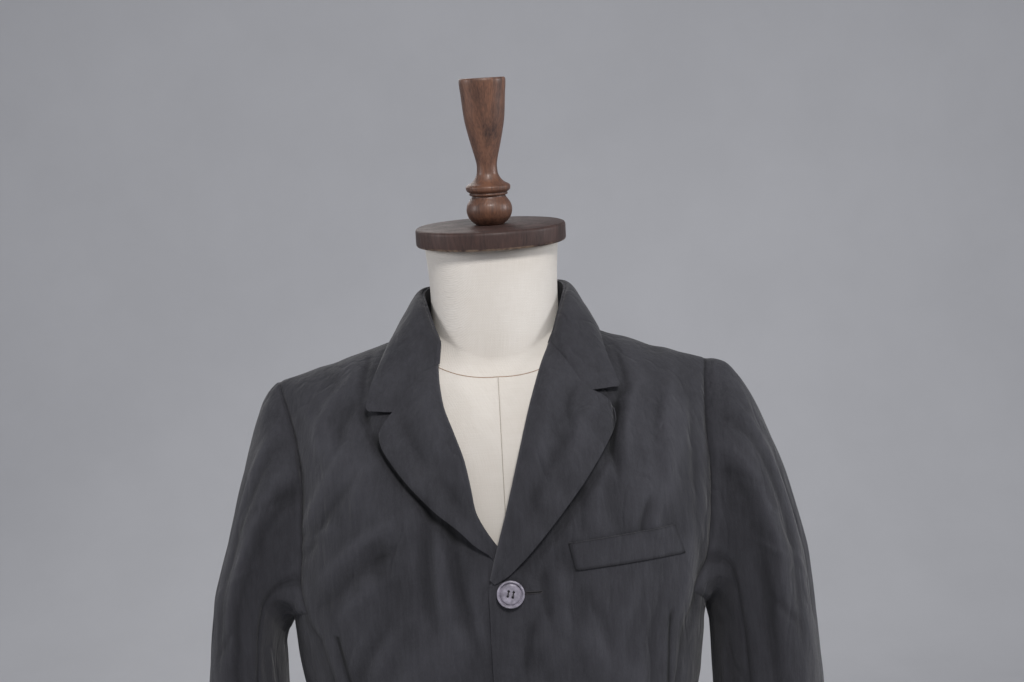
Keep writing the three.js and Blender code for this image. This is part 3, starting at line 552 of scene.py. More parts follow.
# Creases of a sleeve. Columns: turn in degrees, z, turn, z, half-width in degrees, height
SLEEVE_CREASES = [
    (30, -112, 22, -285, 5, -3.4),
    (15, -112, 10, -300, 5, 2.4),
    (40, -60, 46, -230, 6, 2.4),
    (52, -80, 62, -300, 5, -2.8),
    (70, -70, 74, -260, 6, 2.6),
    (86, -60, 84, -180, 5, -2.2),
    (90, -180, 96, -420, 6, -2.8),
    (60, -290, 84, -520, 7, 2.6),
    (38, -330, 44, -560, 6, -2.4),
    (24, -300, 30, -470, 6, 2.2),
    (110, -330, 60, -400, 7, 2.4),
    (120, -380, 70, -440, 7, -2.3),
    (112, -430, 40, -500, 8, 2.1),
    (100, -520, 90, -640, 7, 2.0),
    (20, -470, 28, -630, 7, 2.0),
    (-30, -70, -24, -280, 6, 2.3),
    (-52, -90, -40, -330, 6, -2.5),
    (-76, -120, -70, -380, 7, 2.5),
    (-100, -200, -92, -440, 7, -2.2),
    (-60, -390, -120, -430, 8, 2.5),
    (-44, -440, -110, -500, 8, -2.1),
    (-80, -520, -84, -640, 7, 2.0),
    (150, -290, 160, -420, 8, 1.9),
    (200, -300, 190, -520, 8, -1.9),
    (170, -480, 176, -620, 8, 1.6),
    (88, -96, 70, -112, 4, 2.0),
    (84, -128, 66, -150, 4, -2.0),
    (92, -196, 70, -214, 5, 2.0),
    (58, -210, 34, -250, 5, 1.6),
    (88, -250, 62, -282, 6, -1.8),
]
SECTION_STEPS = 12


def sleeve_section(hand, k, turn):
    """Points of a sleeve section: k is a place in the table, between its rows too."""
    index = np.arange(len(SLEEVE))
    row = [curve(list(zip(index, [line[c] for line in SLEEVE])))(k) for c in range(8)]
    outer_x, inner_x = (row[1], row[3]) if hand > 0 else (row[2], row[4])
    outer = np.stack([hand * outer_x, row[6], row[0]], -1)
    inner = np.stack([hand * inner_x, row[6], row[5]], -1)
    centre = (outer + inner) / 2
    p = centre + (outer - centre) * np.cos(turn)[..., None]
    p[..., 1] -= row[7] * np.sin(turn)
    return p, centre


def sleeve_grid(hand, loop):
    """Middle points of a sleeve from the armhole's loop to the cuff, and its small creases."""
    first = SLEEVE[0]
    middle = (first[0] + first[5]) / 2
    turn = np.arctan2((RIDGE_Y - loop[:, 1]) / first[7], (loop[:, 2] - middle) / (first[0] - middle))
    places = np.linspace(0, len(SLEEVE) - 1, (len(SLEEVE) - 1) * SECTION_STEPS + 1)
    k, turns = np.meshgrid(places, turn, indexing="ij")
    p, centre = sleeve_section(hand, k, turns)
    start, _ = sleeve_section(hand, np.zeros_like(k), turns)
    degrees = (np.degrees(turns) + 360) % 360
    z = p[..., 2]
    big = np.zeros_like(z)
    for at, wide, rise, height, half in SLEEVE_FOLDS:
        away = np.abs((degrees - at + 540) % 360 - 180)
        big += rise * np.exp(-((away / wide) ** 2) - ((z - height) / half) ** 4)
    grown = np.minimum(1, k / 5)
    keep = np.maximum(0, 1 - k / 5) ** 2
    out = unit(p - centre)
    p = p + out * (big * grown)[..., None] + (loop[None] - start) * keep[..., None]
    p[0] = loop
    signed = (degrees + 180) % 360 - 180
    fine = np.zeros_like(z)
    for turn0, z0, turn1, z1, wide, rise in SLEEVE_CREASES:
        turn0 = turn0 if hand > 0 else turn0 * 0.9 + 6
        t = (z - z0) / (z1 - z0)
        line = turn0 + (turn1 - turn0) * np.clip(t, 0, 1)
        away = np.abs((signed - line + 540) % 360 - 180)
        ends = np.exp(-(np.abs(2 * t - 1) ** 4))
        fine += 0.8 * rise * ends * near(away / wide, CREASE_SHARPNESS)
    around = signed * 1.1
    fine += 0.8 * rumple(around, z, 75, 12, 2.0 + hand) + 0.45 * rumple(around, z, 32, 8, 6.0)
    fade = smoothstep(k, 0, 1.2)
    return p, fine * fade


# Lapels in front view: the gorge from roll line to notch, and rows of roll x, z, outer x, z
LAPELS = {
    LEFT: {
        "gorge": [(51, -7), (66, -28), (76, -41), (86, -51)],
        "tip": (112, -67),
        "collar_tip": (113, -51),
        "rows": [
            (42, -27, 104, -85), (32, -55, 95, -99), (23, -84, 77, -124), (14, -115, 55, -151),
            (4, -150, 32, -177), (-6, -182, 12, -198), (-12.5, -203, -3, -211), (-15.5, -213, -13, -216),
        ],
    },
    RIGHT: {
        "gorge": [(57, -22), (76, -35), (88, -49), (97, -61)],
        "tip": (112, -81),
        "collar_tip": (122, -61),
        "rows": [
            (56, -37, 109, -92), (53, -58, 95, -114), (44, -84, 78, -134), (36, -107, 60, -152),
            (31, -130, 42, -167), (27, -152, 28, -181), (14, -177, 15, -191), (9, -184, 13, -194),
        ],
    },
}
LAPEL_FINE = 43
NOTCH_SHARE = 4 / 6
LAPEL_ROW_STEPS = 14


def along(points, t):
    """Places on a line through the points, from t 0 at its start to 1 at its end."""
    points = np.asarray(points, float)
    places = np.arange(len(points))
    return np.stack([np.interp(np.asarray(t) * places[-1], places, points[:, c]) for c in range(2)], -1)


def roll_of(u):
    """How far the cloth bulges where it rolls over."""
    return 3.5 * near(u - 0.14, 0.16)


def end_line(hand, tip):
    """The gorge and then the free edge as far as a tip, in front view."""
    u = np.linspace(0, 1, LAPEL_FINE)
    gorge = LAPELS[hand]["gorge"]
    shared = along(gorge, np.clip(u / NOTCH_SHARE, 0, 1))
    free = along([gorge[-1], tip], np.clip((u - NOTCH_SHARE) / (1 - NOTCH_SHARE), 0, 1))
    return np.where((u <= NOTCH_SHARE)[:, None], shared, free), u


def lapel_grid(hand):
    """A lapel's places on the body, how far each stands off it, and the share across."""
    shape = LAPELS[hand]
    end, u = end_line(hand, shape["tip"])
    rows = np.array(shape["rows"], float)
    steps = np.linspace(0, len(rows), len(rows) * LAPEL_ROW_STEPS + 1)
    places = np.arange(len(rows) + 1)
    first_roll, first_tip = end[0], end[-1]
    columns = []
    for c, first in enumerate([first_roll[0], first_roll[1], first_tip[0], first_tip[1]]):
        values = np.concatenate([[first], rows[:, c]])
        columns.append(curve(list(zip(places, values)))(steps))
    roll = np.stack(columns[:2], -1)
    outer = np.stack(columns[2:], -1)
    flat = roll[:, None] * (1 - u[None, :, None]) + outer[:, None] * u[None, :, None]
    bend = np.maximum(0, 1 - steps)[:, None, None]
    straight = end[0] * (1 - u[:, None]) + end[-1] * u[:, None]
    flat = flat + (end - straight)[None] * bend
    p = on_front(hand * flat[..., 0], flat[..., 1])
    width = np.linalg.norm(outer - roll, axis=-1) / 75
    lap = lap_of(p, hand) * smoothstep(steps, 0, 1)[:, None]
    seated = ON_PANEL - 1.4 * smoothstep(steps, len(rows) - 2, len(rows))[:, None]
    return p, lap + seated + roll_of(u)[None] * np.minimum(width, 1)[:, None], u


# Half a collar from its front end to the centre back. Columns: fold x, y, z, outer edge x, y, z
COLLAR = [
    (53, -51, 5, 115, -62, -36),
    (60, -38, 25, 108, -48, -21),
    (66, -19, 42, 100, -26, -6),
    (69, 4, 51, 95, 0, 10),
    (66, 26, 57, 92, 30, 14),
    (52, 46, 60, 76, 62, 8),
    (28, 57, 62, 44, 84, 4),
    (0, 61, 62, 0, 90, 3),
]
COLLAR_NARROW = {LEFT: 7, RIGHT: 0}
COLLAR_STEPS = 12

# The neckline that the collar stands on: x and z in front, and w at the back
NECK_FRONT = [(57, -2), (64, 5), (69, 11)]
NECK_BACK = [0.14, 0.26, 0.37, NECK_W]
STAND_FOOT_OUT = WALL / 2 + LAYER_GAP
STAND_LEAN = 1.5
STAND_FINE = 13
FALL_ROLL = 9
FALL_END_OUT = ON_PANEL - 0.2


def neck_feet(hand):
    """Foot of half the collar stand, from the front round to the centre back."""
    places = [on_front(hand * x, z) for x, z in NECK_FRONT]
    places.append(on_body(hand * NECK_WIDTH, 0, BACK))
    places += [on_body(hand * back_inner(w), w, BACK) for w in NECK_BACK]
    return np.array([lift(place, STAND_FOOT_OUT) for place in places])


def smooth_rows(rows, steps):
    """A table's rows with smooth steps between each two of them."""
    rows = np.asarray(rows, float)
    index = np.arange(len(rows))
    places = np.linspace(0, len(rows) - 1, (len(rows) - 1) * steps + 1)
    columns = [curve(list(zip(index, rows[:, c])))(places) for c in range(rows.shape[1])]
    return np.stack(columns, -1)


def mirrored(points, hand):
    return points * np.array([hand, 1, 1])


def collar_grids():
    """The stand and the fall, from the left front round the back to the right front."""
    halves = {}
    for hand in (LEFT, RIGHT):
        table = smooth_rows(COLLAR, COLLAR_STEPS)
        top = mirrored(table[:, :3], hand)
        narrow = COLLAR_NARROW[hand] * smoothstep(-table[:, 5], -8, 30)
        edge = mirrored(table[:, 3:] - np.stack([narrow, 0 * narrow, 0 * narrow], -1), hand)
        foot = smooth_rows(neck_feet(hand), COLLAR_STEPS)
        away = unit(top * np.array([1, 1, 0]))
        u = np.linspace(0, 1, STAND_FINE)[None, :, None]
        stand = foot[:, None] * (1 - u) + top[:, None] * u
        stand = stand + away[:, None] * STAND_LEAN * np.sin(u * math.pi)
        start = top + away * ON_PANEL
        end = keep_out(edge, ON_PANEL)
        roll = start + away * FALL_ROLL + np.array([0, 0, 2])
        t = np.linspace(0, 1, LAPEL_FINE)[None, :, None]
        fall = start[:, None] * (1 - t) ** 2 + roll[:, None] * 2 * t * (1 - t) + end[:, None] * t**2
        halves[hand] = (stand, keep_out(fall, ON_PANEL))
    stand = np.concatenate([halves[LEFT][0], halves[RIGHT][0][-2::-1]])
    fall = np.concatenate([halves[LEFT][1], halves[RIGHT][1][-2::-1]])
    ends = []
    for hand in (LEFT, RIGHT):
        line, u = end_line(hand, LAPELS[hand]["collar_tip"])
        p = on_front(hand * line[:, 0], line[:, 1])
        rise = ON_PANEL + np.where(u <= NOTCH_SHARE, roll_of(u) * 0.4, 0)
        ends.append(lift(p, rise))
    t = np.linspace(0, 1, COLLAR_STEPS + 1)[:-1]
    lead = [ends[0] * (1 - s) + fall[0] * s for s in t]
    tail = [ends[1] * (1 - s) + fall[-1] * s for s in t[::-1]]
    lead = keep_out(np.array(lead), FALL_END_OUT)
    tail = keep_out(np.array(tail), FALL_END_OUT)
    return stand, np.concatenate([lead, fall, tail])


def grid_normals(points):
    down = np.gradient(points, axis=0)
    across = np.gradient(points, axis=1)
    return unit(np.cross(down, across))


def facing(normals, reference):
    """The normals, turned over if most of them point against the reference."""
    sign = np.sign(np.sum(normals * reference, -1, keepdims=True).sum())
    return normals * sign


def lengths(points, axis):
    """Length of the cloth from a grid's first row or column to each of its points."""
    steps = np.linalg.norm(np.diff(points, axis=axis), axis=-1)
    pad = [(0, 0), (0, 0)]
    pad[axis] = (1, 0)
    return np.cumsum(np.pad(steps, pad), axis=axis)


def cloth(name, points, normals, material, thick, wear_and_shade):
    """A closed thin wall round a grid of middle points, with its flat place as the UV map.

    The wear and painted shade of each point, higher on ridges and lower in crease troughs, seams, darts
    and under the lapels' edges, is kept for the material.
    """
    rows, columns = points.shape[:2]
    count = rows * columns
    both = np.concatenate([points + normals * thick / 2, points - normals * thick / 2])
    both = swayed(both.reshape(-1, 3))
    both[:, 2] += EYE
    grid = np.arange(count).reshape(rows, columns)

    def quads(a, b, c, d):
        return np.stack([x.ravel() for x in (a, b, c, d)], -1)

    outer = quads(grid[:-1, :-1], grid[1:, :-1], grid[1:, 1:], grid[:-1, 1:])
    inner = quads(grid[:-1, :-1], grid[:-1, 1:], grid[1:, 1:], grid[1:, :-1]) + count
    rims = []
    for a, b in (
        (grid[:-1, 0], grid[1:, 0]),
        (grid[1:, -1], grid[:-1, -1]),
        (grid[0, 1:], grid[0, :-1]),
        (grid[-1, :-1], grid[-1, 1:]),
    ):
        rims.append(np.stack([a, a + count, b + count, b], -1))
    rim = np.concatenate(rims)
    faces = np.concatenate([outer, inner, rim])
    corners = both[faces]
    volume = np.sum(corners[:, 0] * np.cross(corners[:, 1], corners[:, 2]))
    volume += np.sum(corners[:, 0] * np.cross(corners[:, 2], corners[:, 3]))
    if volume < 0:
        faces = faces[:, ::-1]
    mesh = bpy.data.meshes.new(name)
    mesh.from_pydata((both * MM).tolist(), [], faces.tolist())
    across = lengths(points, 1) * MM
    down = lengths(points, 0) * MM
    flat = np.tile(np.stack([across, down], -1).reshape(-1, 2), (2, 1))
    layer = mesh.uv_layers.new(name="cut")
    layer.data.foreach_set("uv", flat[faces.ravel()].astype(np.float32).ravel())
    shade = np.broadcast_to(wear_and_shade, (rows, columns)).ravel()
    attribute = mesh.attributes.new("wear_and_shade", "FLOAT", "POINT")
    attribute.data.foreach_set("value", np.tile(shade, 2).astype(np.float32))
    mesh.polygons.foreach_set("use_smooth", np.ones(len(faces), bool))
    border = np.zeros((rows, columns), bool)
    border[[0, -1]] = True
    border[:, [0, -1]] = True
    border = np.tile(border.ravel(), 2)
    ends = np.zeros(len(mesh.edges) * 2, np.int32)
    mesh.edges.foreach_get("vertices", ends)
    ends = ends.reshape(-1, 2)
    same_face = (ends[:, 0] < count) == (ends[:, 1] < count)
    sharp = mesh.attributes.new("sharp_edge", "BOOLEAN", "EDGE")
    sharp.data.foreach_set("value", border[ends].all(axis=1) & same_face)
    mesh.materials.append(material)
    piece = bpy.data.objects.new(name, mesh)
    bpy.context.scene.collection.objects.link(piece)
    piece["cut_width"] = float(across.max())
    piece["cut_length"] = float(down.max())
    return piece


def link_sheet(name, made, material, node_name, thick):
    """A piece of cloth in the scene, declared with the flat size that its grid measures."""
    points, normals, wear_and_shade = made
    piece = cloth(name, points, normals, material, thick, wear_and_shade)
    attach(piece, "root")
    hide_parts(node_name)


SEAM_DEPTH = 0.7
SEAM_REACH = 1.4


def seam_dip(rows, columns, edges):
    """A shallow trough where a piece is sewn to the next one, on its first or last column."""
    dip = np.zeros((rows, columns))
    column = np.arange(columns)[None]
    away = {"first": column, "last": columns - 1 - column}
    for edge in edges:
        dip = np.minimum(dip, -SEAM_DEPTH * near(away[edge], SEAM_REACH))
    return dip


# Dress form: heights of its rings, its neck's half-width and half-depth at the top and the foot,
# and how far it stays inside the cloth, by height
FORM_BOTTOM = -765
FORM_HEIGHTS = [FORM_BOTTOM, -700, -600, -480, -430, -390, -340, -280, -220]
NECK = (64.5, 60)
NECK_FOOT = (63.5, 64)
ease = curve([(30, 3.4), (-28, 3.4), (-60, 5), (-110, 8), (-160, 10), (-800, 10)])
FORM_SIDES = 160
FORM_STEPS = 4
CHEST_ROUNDS = 60

# The cap on the neck leans back by the tilt
TILT = math.radians(10.6)
CAP_Y = -18
CAP_UNDER = 96.5
CAP_THICK = 17.5


def form_grid(sides, steps):
    """Rings of the dress form from its foot to the top of its neck."""
    turn = np.arange(sides) * 2 * math.pi / sides

    def plan(z):
        share = np.sign(np.cos(turn)) * np.abs(np.cos(turn)) ** (2 / PLAN_POWER)
        deep = np.sign(np.sin(turn)) * np.abs(np.sin(turn)) ** (2 / PLAN_POWER)
        depth = np.where(np.sin(turn) < 0, depth_of[FRONT](z), depth_of[BACK](z))
        return np.stack([half_width(z) * 0.999 * share, RIDGE_Y + depth * deep, z + 0 * turn], -1)

    def inward(p):
        return p - outward(p) * ease(p[..., 2])[..., None]

    drop = np.where(np.sin(turn) < 0, DROP[FRONT], DROP[BACK])
    fullest = shoulder(np.abs(plan(-150.0)[:, 0])) - drop
    girth = plan(fullest)
    rings = [inward(plan(np.full(sides, z))) for z in refine(FORM_HEIGHTS, steps)]
    rings[0][:, 2] = FORM_BOTTOM
    low = rings[-1]
    for t in np.linspace(0, 1, steps + 1)[1:-1]:
        rings.append(low * (1 - t) + inward(girth) * t)
    foot = np.stack([NECK_FOOT[0] * np.cos(turn), NECK_FOOT[1] * np.sin(turn)], -1)
    for degrees in refine([90, 74, 60, 47, 34, 20, 8], steps):
        share = math.sin(math.radians(degrees))
        xy = foot * (1 - share) + girth[:, :2] * share
        rings.append(inward(np.concatenate([xy, top_of(xy)[:, None]], -1)))
    base = np.concatenate([foot, top_of(foot)[:, None]], -1) * np.array([0.985, 0.985, 1])
    top = np.stack([
        NECK[0] * np.cos(turn),
        CAP_Y + NECK[1] * np.sin(turn) * math.cos(TILT),
        CAP_UNDER - 0.4 + NECK[1] * np.sin(turn) * math.sin(TILT),
    ], -1)
    for rise in refine([0, 0.16, 0.42, 0.72, 1], steps):
        q = base * (1 - rise) + top * rise
        rings.append(q * np.array([1 - 0.025 * math.sin(rise * math.pi), 1, 1]))
    return padded_chest(np.array(rings), steps)


def padded_chest(rings, steps):
    """The rings between waist and neck foot with their joins smoothed."""
    low, high = 7 * steps, 14 * steps
    for _ in range(CHEST_ROUNDS):
        below, here, above = rings[low - 1 : high - 1], rings[low:high], rings[low + 1 : high + 1]
        rings[low:high] = (below + 2 * here + above) / 4
    return rings


def top_of(xy):
    """Height of the body's upper surface over places in plan."""
    front = xy[:, 1] < RIDGE_Y
    drop = np.where(front, DROP[FRONT], DROP[BACK])
    power = np.where(front, POWER[FRONT], POWER[BACK])
    top = shoulder(np.abs(xy[:, 0]))
    z = top.copy()
    for _ in range(SEARCH_ROUNDS):
        aside = np.minimum(1, np.abs(xy[:, 0]) / half_width(z))
        room = (1 - aside**PLAN_POWER) ** (1 / PLAN_POWER)
        depth = np.where(front, depth_of[FRONT](z), depth_of[BACK](z)) * room
        across = np.minimum(1, np.abs(xy[:, 1] - RIDGE_Y) / np.maximum(depth, 1e-6))
        z = z * 0.4 + (top - drop * (1 - (1 - across**power) ** (1 / power))) * 0.6
    return z


def ring_mesh(name, rings, material):
    """A closed mesh through rings, with a fan at each end."""
    count, sides = rings.shape[:2]
    points = rings.reshape(-1, 3).copy()
    points = np.concatenate([points, rings[:1].mean(axis=1), rings[-1:].mean(axis=1)])
    points[:, 2] += EYE
    grid = np.arange(count * sides).reshape(count, sides)
    beside = np.roll(grid, -1, axis=1)
    quads = np.stack([grid[:-1], beside[:-1], beside[1:], grid[1:]], -1).reshape(-1, 4).tolist()
    low, high = count * sides, count * sides + 1
    fans = [[low, b, a] for a, b in zip(grid[0], beside[0])]
    fans += [[high, a, b] for a, b in zip(grid[-1], beside[-1])]
    mesh = bpy.data.meshes.new(name)
    mesh.from_pydata((points * MM).tolist(), [], quads + [list(map(int, f)) for f in fans])
    mesh.polygons.foreach_set("use_smooth", np.ones(len(mesh.polygons), bool))
    mesh.materials.append(material)
    piece = bpy.data.objects.new(name, mesh)
    bpy.context.scene.collection.objects.link(piece)
    return piece


def turned(name, profile, sides, material, place=None):
    """A piece turned on a lathe. The profile's rows are radius and height, in millimetres."""
    radius, height = np.array(profile, float).T
    turn = np.arange(sides) * 2 * math.pi / sides
    rings = np.stack([
        radius[:, None] * np.cos(turn), radius[:, None] * np.sin(turn), height[:, None] + 0 * turn,
    ], -1)
    rings[..., 2] -= EYE
    piece = ring_mesh(name, rings, material)
    if place is not None:
        piece.data.transform(place)
    return piece


def round_profile(profile, steps):
    """A smooth line through a turned profile's points, which keeps its flat ends."""
    points = np.array(profile, float)
    size = np.concatenate([[0], np.cumsum(np.linalg.norm(np.diff(points, axis=0), axis=1))])
    spans = [np.linspace(a, b, steps + 1) for a, b in zip(size, size[1:])]
    places = np.unique(np.concatenate(spans))
    return np.stack([curve(list(zip(size, points[:, c])))(places) for c in range(2)], -1)


THREAD_SIDES = 8


def tube(name, path, radius, material):
    """A closed round tube along a list of points in millimetres."""
    path = np.asarray(path, float)
    way = unit(np.gradient(path, axis=0))
    guide = np.array([0, 0, 1.0]) if abs(way[0][2]) < 0.8 else np.array([0, 1.0, 0])
    side = unit(np.cross(way, guide))
    up = np.cross(side, way)
    turn = np.arange(THREAD_SIDES) * 2 * math.pi / THREAD_SIDES
    ring = side[:, None] * np.cos(turn)[None, :, None] + up[:, None] * np.sin(turn)[None, :, None]
    return ring_mesh(name, path[:, None] + ring * radius, material)


def new_material(name):
    """A material with its node tree and its shader."""
    material = bpy.data.materials.new(name)
    material.use_nodes = True
    tree = material.node_tree
    return material, tree, tree.nodes.get("Principled BSDF")


def place_of(tree):
    """Where a point of the part is, in metres."""
    return tree.nodes.new("ShaderNodeTexCoord").outputs["Object"]


def new_group(name, inputs, outputs):
    """A shader node group with named sockets, and its own input and output nodes."""
    tree = bpy.data.node_groups.new(name, "ShaderNodeTree")
    for label, kind, default in inputs:
        socket = tree.interface.new_socket(name=label, in_out="INPUT", socket_type=kind)
        if default is not None:
            socket.default_value = default
    for label, kind in outputs:
        tree.interface.new_socket(name=label, in_out="OUTPUT", socket_type=kind)
    return tree, tree.nodes.new("NodeGroupInput"), tree.nodes.new("NodeGroupOutput")


def maths(tree, operation, a, b=None):
    made = tree.nodes.new("ShaderNodeMath")
    made.operation = operation
    for k, value in enumerate((a, b)):
        if value is None:
            continue
        if isinstance(value, (int, float)):
            made.inputs[k].default_value = value
        else:
            tree.links.new(value, made.inputs[k])
    return made.outputs[0]


def mixed(tree, share, a, b):
    made = tree.nodes.new("ShaderNodeMix")
    made.data_type = "RGBA"
    for socket, value in ((made.inputs[0], share), (made.inputs[6], a), (made.inputs[7], b)):
        if isinstance(value, (int, float)):
            socket.default_value = value
        elif isinstance(value, tuple):
            socket.default_value = value
        else:
            tree.links.new(value, socket)
    return made.outputs[2]


def scaled(tree, vector, scale):
    made = tree.nodes.new("ShaderNodeMapping")
    made.inputs["Scale"].default_value = scale
    tree.links.new(vector, made.inputs["Vector"])
    return made.outputs[0]


def noise_of(tree, vector, scale, detail=3.0, rough=0.55):
    made = tree.nodes.new("ShaderNodeTexNoise")
    made.inputs["Scale"].default_value = scale
    made.inputs["Detail"].default_value = detail
    made.inputs["Roughness"].default_value = rough
    tree.links.new(vector, made.inputs["Vector"])
    return made.outputs["Fac"]


def ranged(tree, value, low, high, to_low=0.0, to_high=1.0):
    made = tree.nodes.new("ShaderNodeMapRange")
    for k, number in enumerate((low, high, to_low, to_high)):
        made.inputs[k + 1].default_value = number
    tree.links.new(value, made.inputs[0])
    return made.outputs[0]


def weave_group():
    """Threads across and along the cut, with slubs: Height and Mask."""
    tree, given, out = new_group(
        "weave",
        [("Vector", "NodeSocketVector", None), ("Threads", "NodeSocketFloat", 1800.0),
         ("Slub", "NodeSocketFloat", 0.5)],
        [("Height", "NodeSocketFloat"), ("Mask", "NodeSocketFloat")],
    )
    parts = tree.nodes.new("ShaderNodeSeparateXYZ")
    tree.links.new(given.outputs["Vector"], parts.inputs[0])
    turn = maths(tree, "MULTIPLY", given.outputs["Threads"], math.pi)
    warp = maths(tree, "SINE", maths(tree, "MULTIPLY", parts.outputs[0], turn))
    weft = maths(tree, "SINE", maths(tree, "MULTIPLY", parts.outputs[1], turn))
    crossed = maths(tree, "MULTIPLY", warp, weft)
    along_warp = noise_of(tree, scaled(tree, given.outputs["Vector"], (900, 40, 1)), 1.0, 2.0)
    along_weft = noise_of(tree, scaled(tree, given.outputs["Vector"], (40, 900, 1)), 1.0, 2.0)
    slub = maths(tree, "MULTIPLY", maths(tree, "ADD", along_warp, along_weft), given.outputs["Slub"])
    height = maths(tree, "ADD", maths(tree, "MULTIPLY", crossed, 0.35), slub)
    tree.links.new(height, out.inputs["Height"])
    tree.links.new(ranged(tree, slub, 0.3, 0.75), out.inputs["Mask"])
    return tree


def grain_group():
    """Long wood grain with pores, along the vector's Z: Mask and Height."""
    tree, given, out = new_group(
        "grain",
        [("Vector", "NodeSocketVector", None), ("Fineness", "NodeSocketFloat", 1.0)],
        [("Mask", "NodeSocketFloat"), ("Height", "NodeSocketFloat")],
    )
    vector = tree.nodes.new("ShaderNodeVectorMath")
    vector.operation = "SCALE"
    tree.links.new(given.outputs["Vector"], vector.inputs[0])
    tree.links.new(given.outputs["Fineness"], vector.inputs["Scale"])
    broad = noise_of(tree, scaled(tree, vector.outputs[0], (60, 60, 6)), 1.0, 4.0, 0.6)
    fine = noise_of(tree, scaled(tree, vector.outputs[0], (520, 520, 26)), 1.0, 3.0, 0.6)
    mask = maths(tree, "ADD", maths(tree, "MULTIPLY", broad, 0.6), maths(tree, "MULTIPLY", fine, 0.4))
    tree.links.new(ranged(tree, mask, 0.36, 0.64), out.inputs["Mask"])
    tree.links.new(ranged(tree, fine, 0.35, 0.6), out.inputs["Height"])
    return tree


def place_group(tree, group, **values):
    made = tree.nodes.new("ShaderNodeGroup")
    made.node_tree = group
    for key, value in values.items():
        socket = made.inputs[key]
        if isinstance(value, (int, float)):
            socket.default_value = value
        else:
            tree.links.new(value, socket)
    return made


def bump(tree, shader, height, strength, distance):
    made = tree.nodes.new("ShaderNodeBump")
    made.inputs["Strength"].default_value = strength
    made.inputs["Distance"].default_value = distance
    tree.links.new(height, made.inputs["Height"])
    tree.links.new(made.outputs[0], shader.inputs["Normal"])


def colour(value):
    return (*value, 1.0)


def cloth_material(name, settings):
    """Garment-dyed cloth: charcoal, lighter where folds have worn it, with long faded streaks, and
    darker as painted shade in crease troughs, seams, darts and under the lapels' edges.
    """
    material, tree, shader = new_material(name)
    cut_map = tree.nodes.new("ShaderNodeUVMap")
    cut_map.uv_map = "cut"
    cut = cut_map.outputs[0]
    place = place_of(tree)
    attribute = tree.nodes.new("ShaderNodeAttribute")
    attribute.attribute_name = "wear_and_shade"
    wear_and_shade = attribute.outputs["Fac"]
    streak = noise_of(tree, scaled(tree, place, (260, 260, 34)), 1.0, 4.0, 0.65)
    mottle = noise_of(tree, place, 30.0, 5.0, 0.6)
    melange = noise_of(tree, scaled(tree, cut, (1500, 420, 1)), 1.0, 3.0, 0.6)
    weave = place_group(tree, bpy.data.node_groups["weave"], Vector=cut, Threads=1700.0, Slub=0.5)
    fade = maths(tree, "ADD", ranged(tree, streak, 0.35, 0.7, 0, 0.26),
                 ranged(tree, mottle, 0.35, 0.7, 0, 0.26))
    # Wear and painted shade from the point attribute: ridges lighter; crease troughs, seams, darts and
    # lapel edges darker
    fade = maths(tree, "ADD", fade, ranged(tree, wear_and_shade, -1.8, 1.8, -0.3, 0.34))
    fade = maths(tree, "ADD", fade, ranged(tree, melange, 0.35, 0.65, 0, 0.2))
    fade = maths(tree, "ADD", fade, maths(tree, "MULTIPLY", weave.outputs["Mask"], 0.14))
    fade = ranged(tree, fade, 0.0, 1.1)
    # Painted shade: the deepest seams, darts, lapel edges and welt edges take the dark seam colour
    seam = ranged(tree, wear_and_shade, -5.5, -3.0)
    worn_and_shaded = mixed(tree, fade, colour(settings.cloth_dark), colour(settings.cloth_light))
    base = mixed(tree, seam, colour(settings.cloth_seam_shade), worn_and_shaded)
    tree.links.new(base, shader.inputs["Base Color"])
    shader.inputs["Roughness"].default_value = 0.84
    shader.inputs["Specular IOR Level"].default_value = 0.3
    shader.inputs["Sheen Weight"].default_value = 0.12
    shader.inputs["Sheen Roughness"].default_value = 0.45
    crumple = noise_of(tree, scaled(tree, place, (150, 150, 42)), 1.0, 5.0, 0.6)
    creased = noise_of(tree, scaled(tree, place, (46, 46, 15)), 1.0, 3.0, 0.55)
    height = maths(tree, "ADD", maths(tree, "MULTIPLY", weave.outputs["Height"], 0.16), crumple)
    height = maths(tree, "ADD", height, maths(tree, "MULTIPLY", creased, 1.6))
    line = noise_of(tree, scaled(tree, place, (24, 24, 9)), 1.0, 2.0, 0.5)
    line = maths(tree, "ABSOLUTE", maths(tree, "SUBTRACT", line, 0.5))
    height = maths(tree, "ADD", height, ranged(tree, line, 0.0, 0.045, 0.0, 0.55))
    bump(tree, shader, height, 0.75, 0.0016)
    return material


def linen_material(settings):
    """Cream cover of the form, with slubs and faint stains."""
    material, tree, shader = new_material("cream_linen")
    place = place_of(tree)
    parts = tree.nodes.new("ShaderNodeSeparateXYZ")
    tree.links.new(place, parts.inputs[0])
    joined = tree.nodes.new("ShaderNodeCombineXYZ")
    tree.links.new(maths(tree, "ADD", parts.outputs[0], parts.outputs[1]), joined.inputs[0])
    tree.links.new(parts.outputs[2], joined.inputs[1])
    weave = place_group(tree, bpy.data.node_groups["weave"], Vector=joined.outputs[0],
                        Threads=1500.0, Slub=0.6)
    mottle = noise_of(tree, place, 12.0, 4.0, 0.6)
    shade = maths(tree, "ADD", maths(tree, "MULTIPLY", weave.outputs["Mask"], 0.4),
                  ranged(tree, mottle, 0.35, 0.7, 0, 0.6))
    base = mixed(tree, shade, colour(settings.linen_light), colour(settings.linen_dark))
    tree.links.new(base, shader.inputs["Base Color"])
    shader.inputs["Roughness"].default_value = 0.9
    shader.inputs["Specular IOR Level"].default_value = 0.2
    bump(tree, shader, weave.outputs["Height"], 0.5, 0.0006)
    return material


BARE_WOOD = (0.34, 0.24, 0.16)
CHIPS_FULL = 0.0008
CHIPS_END = 0.0026


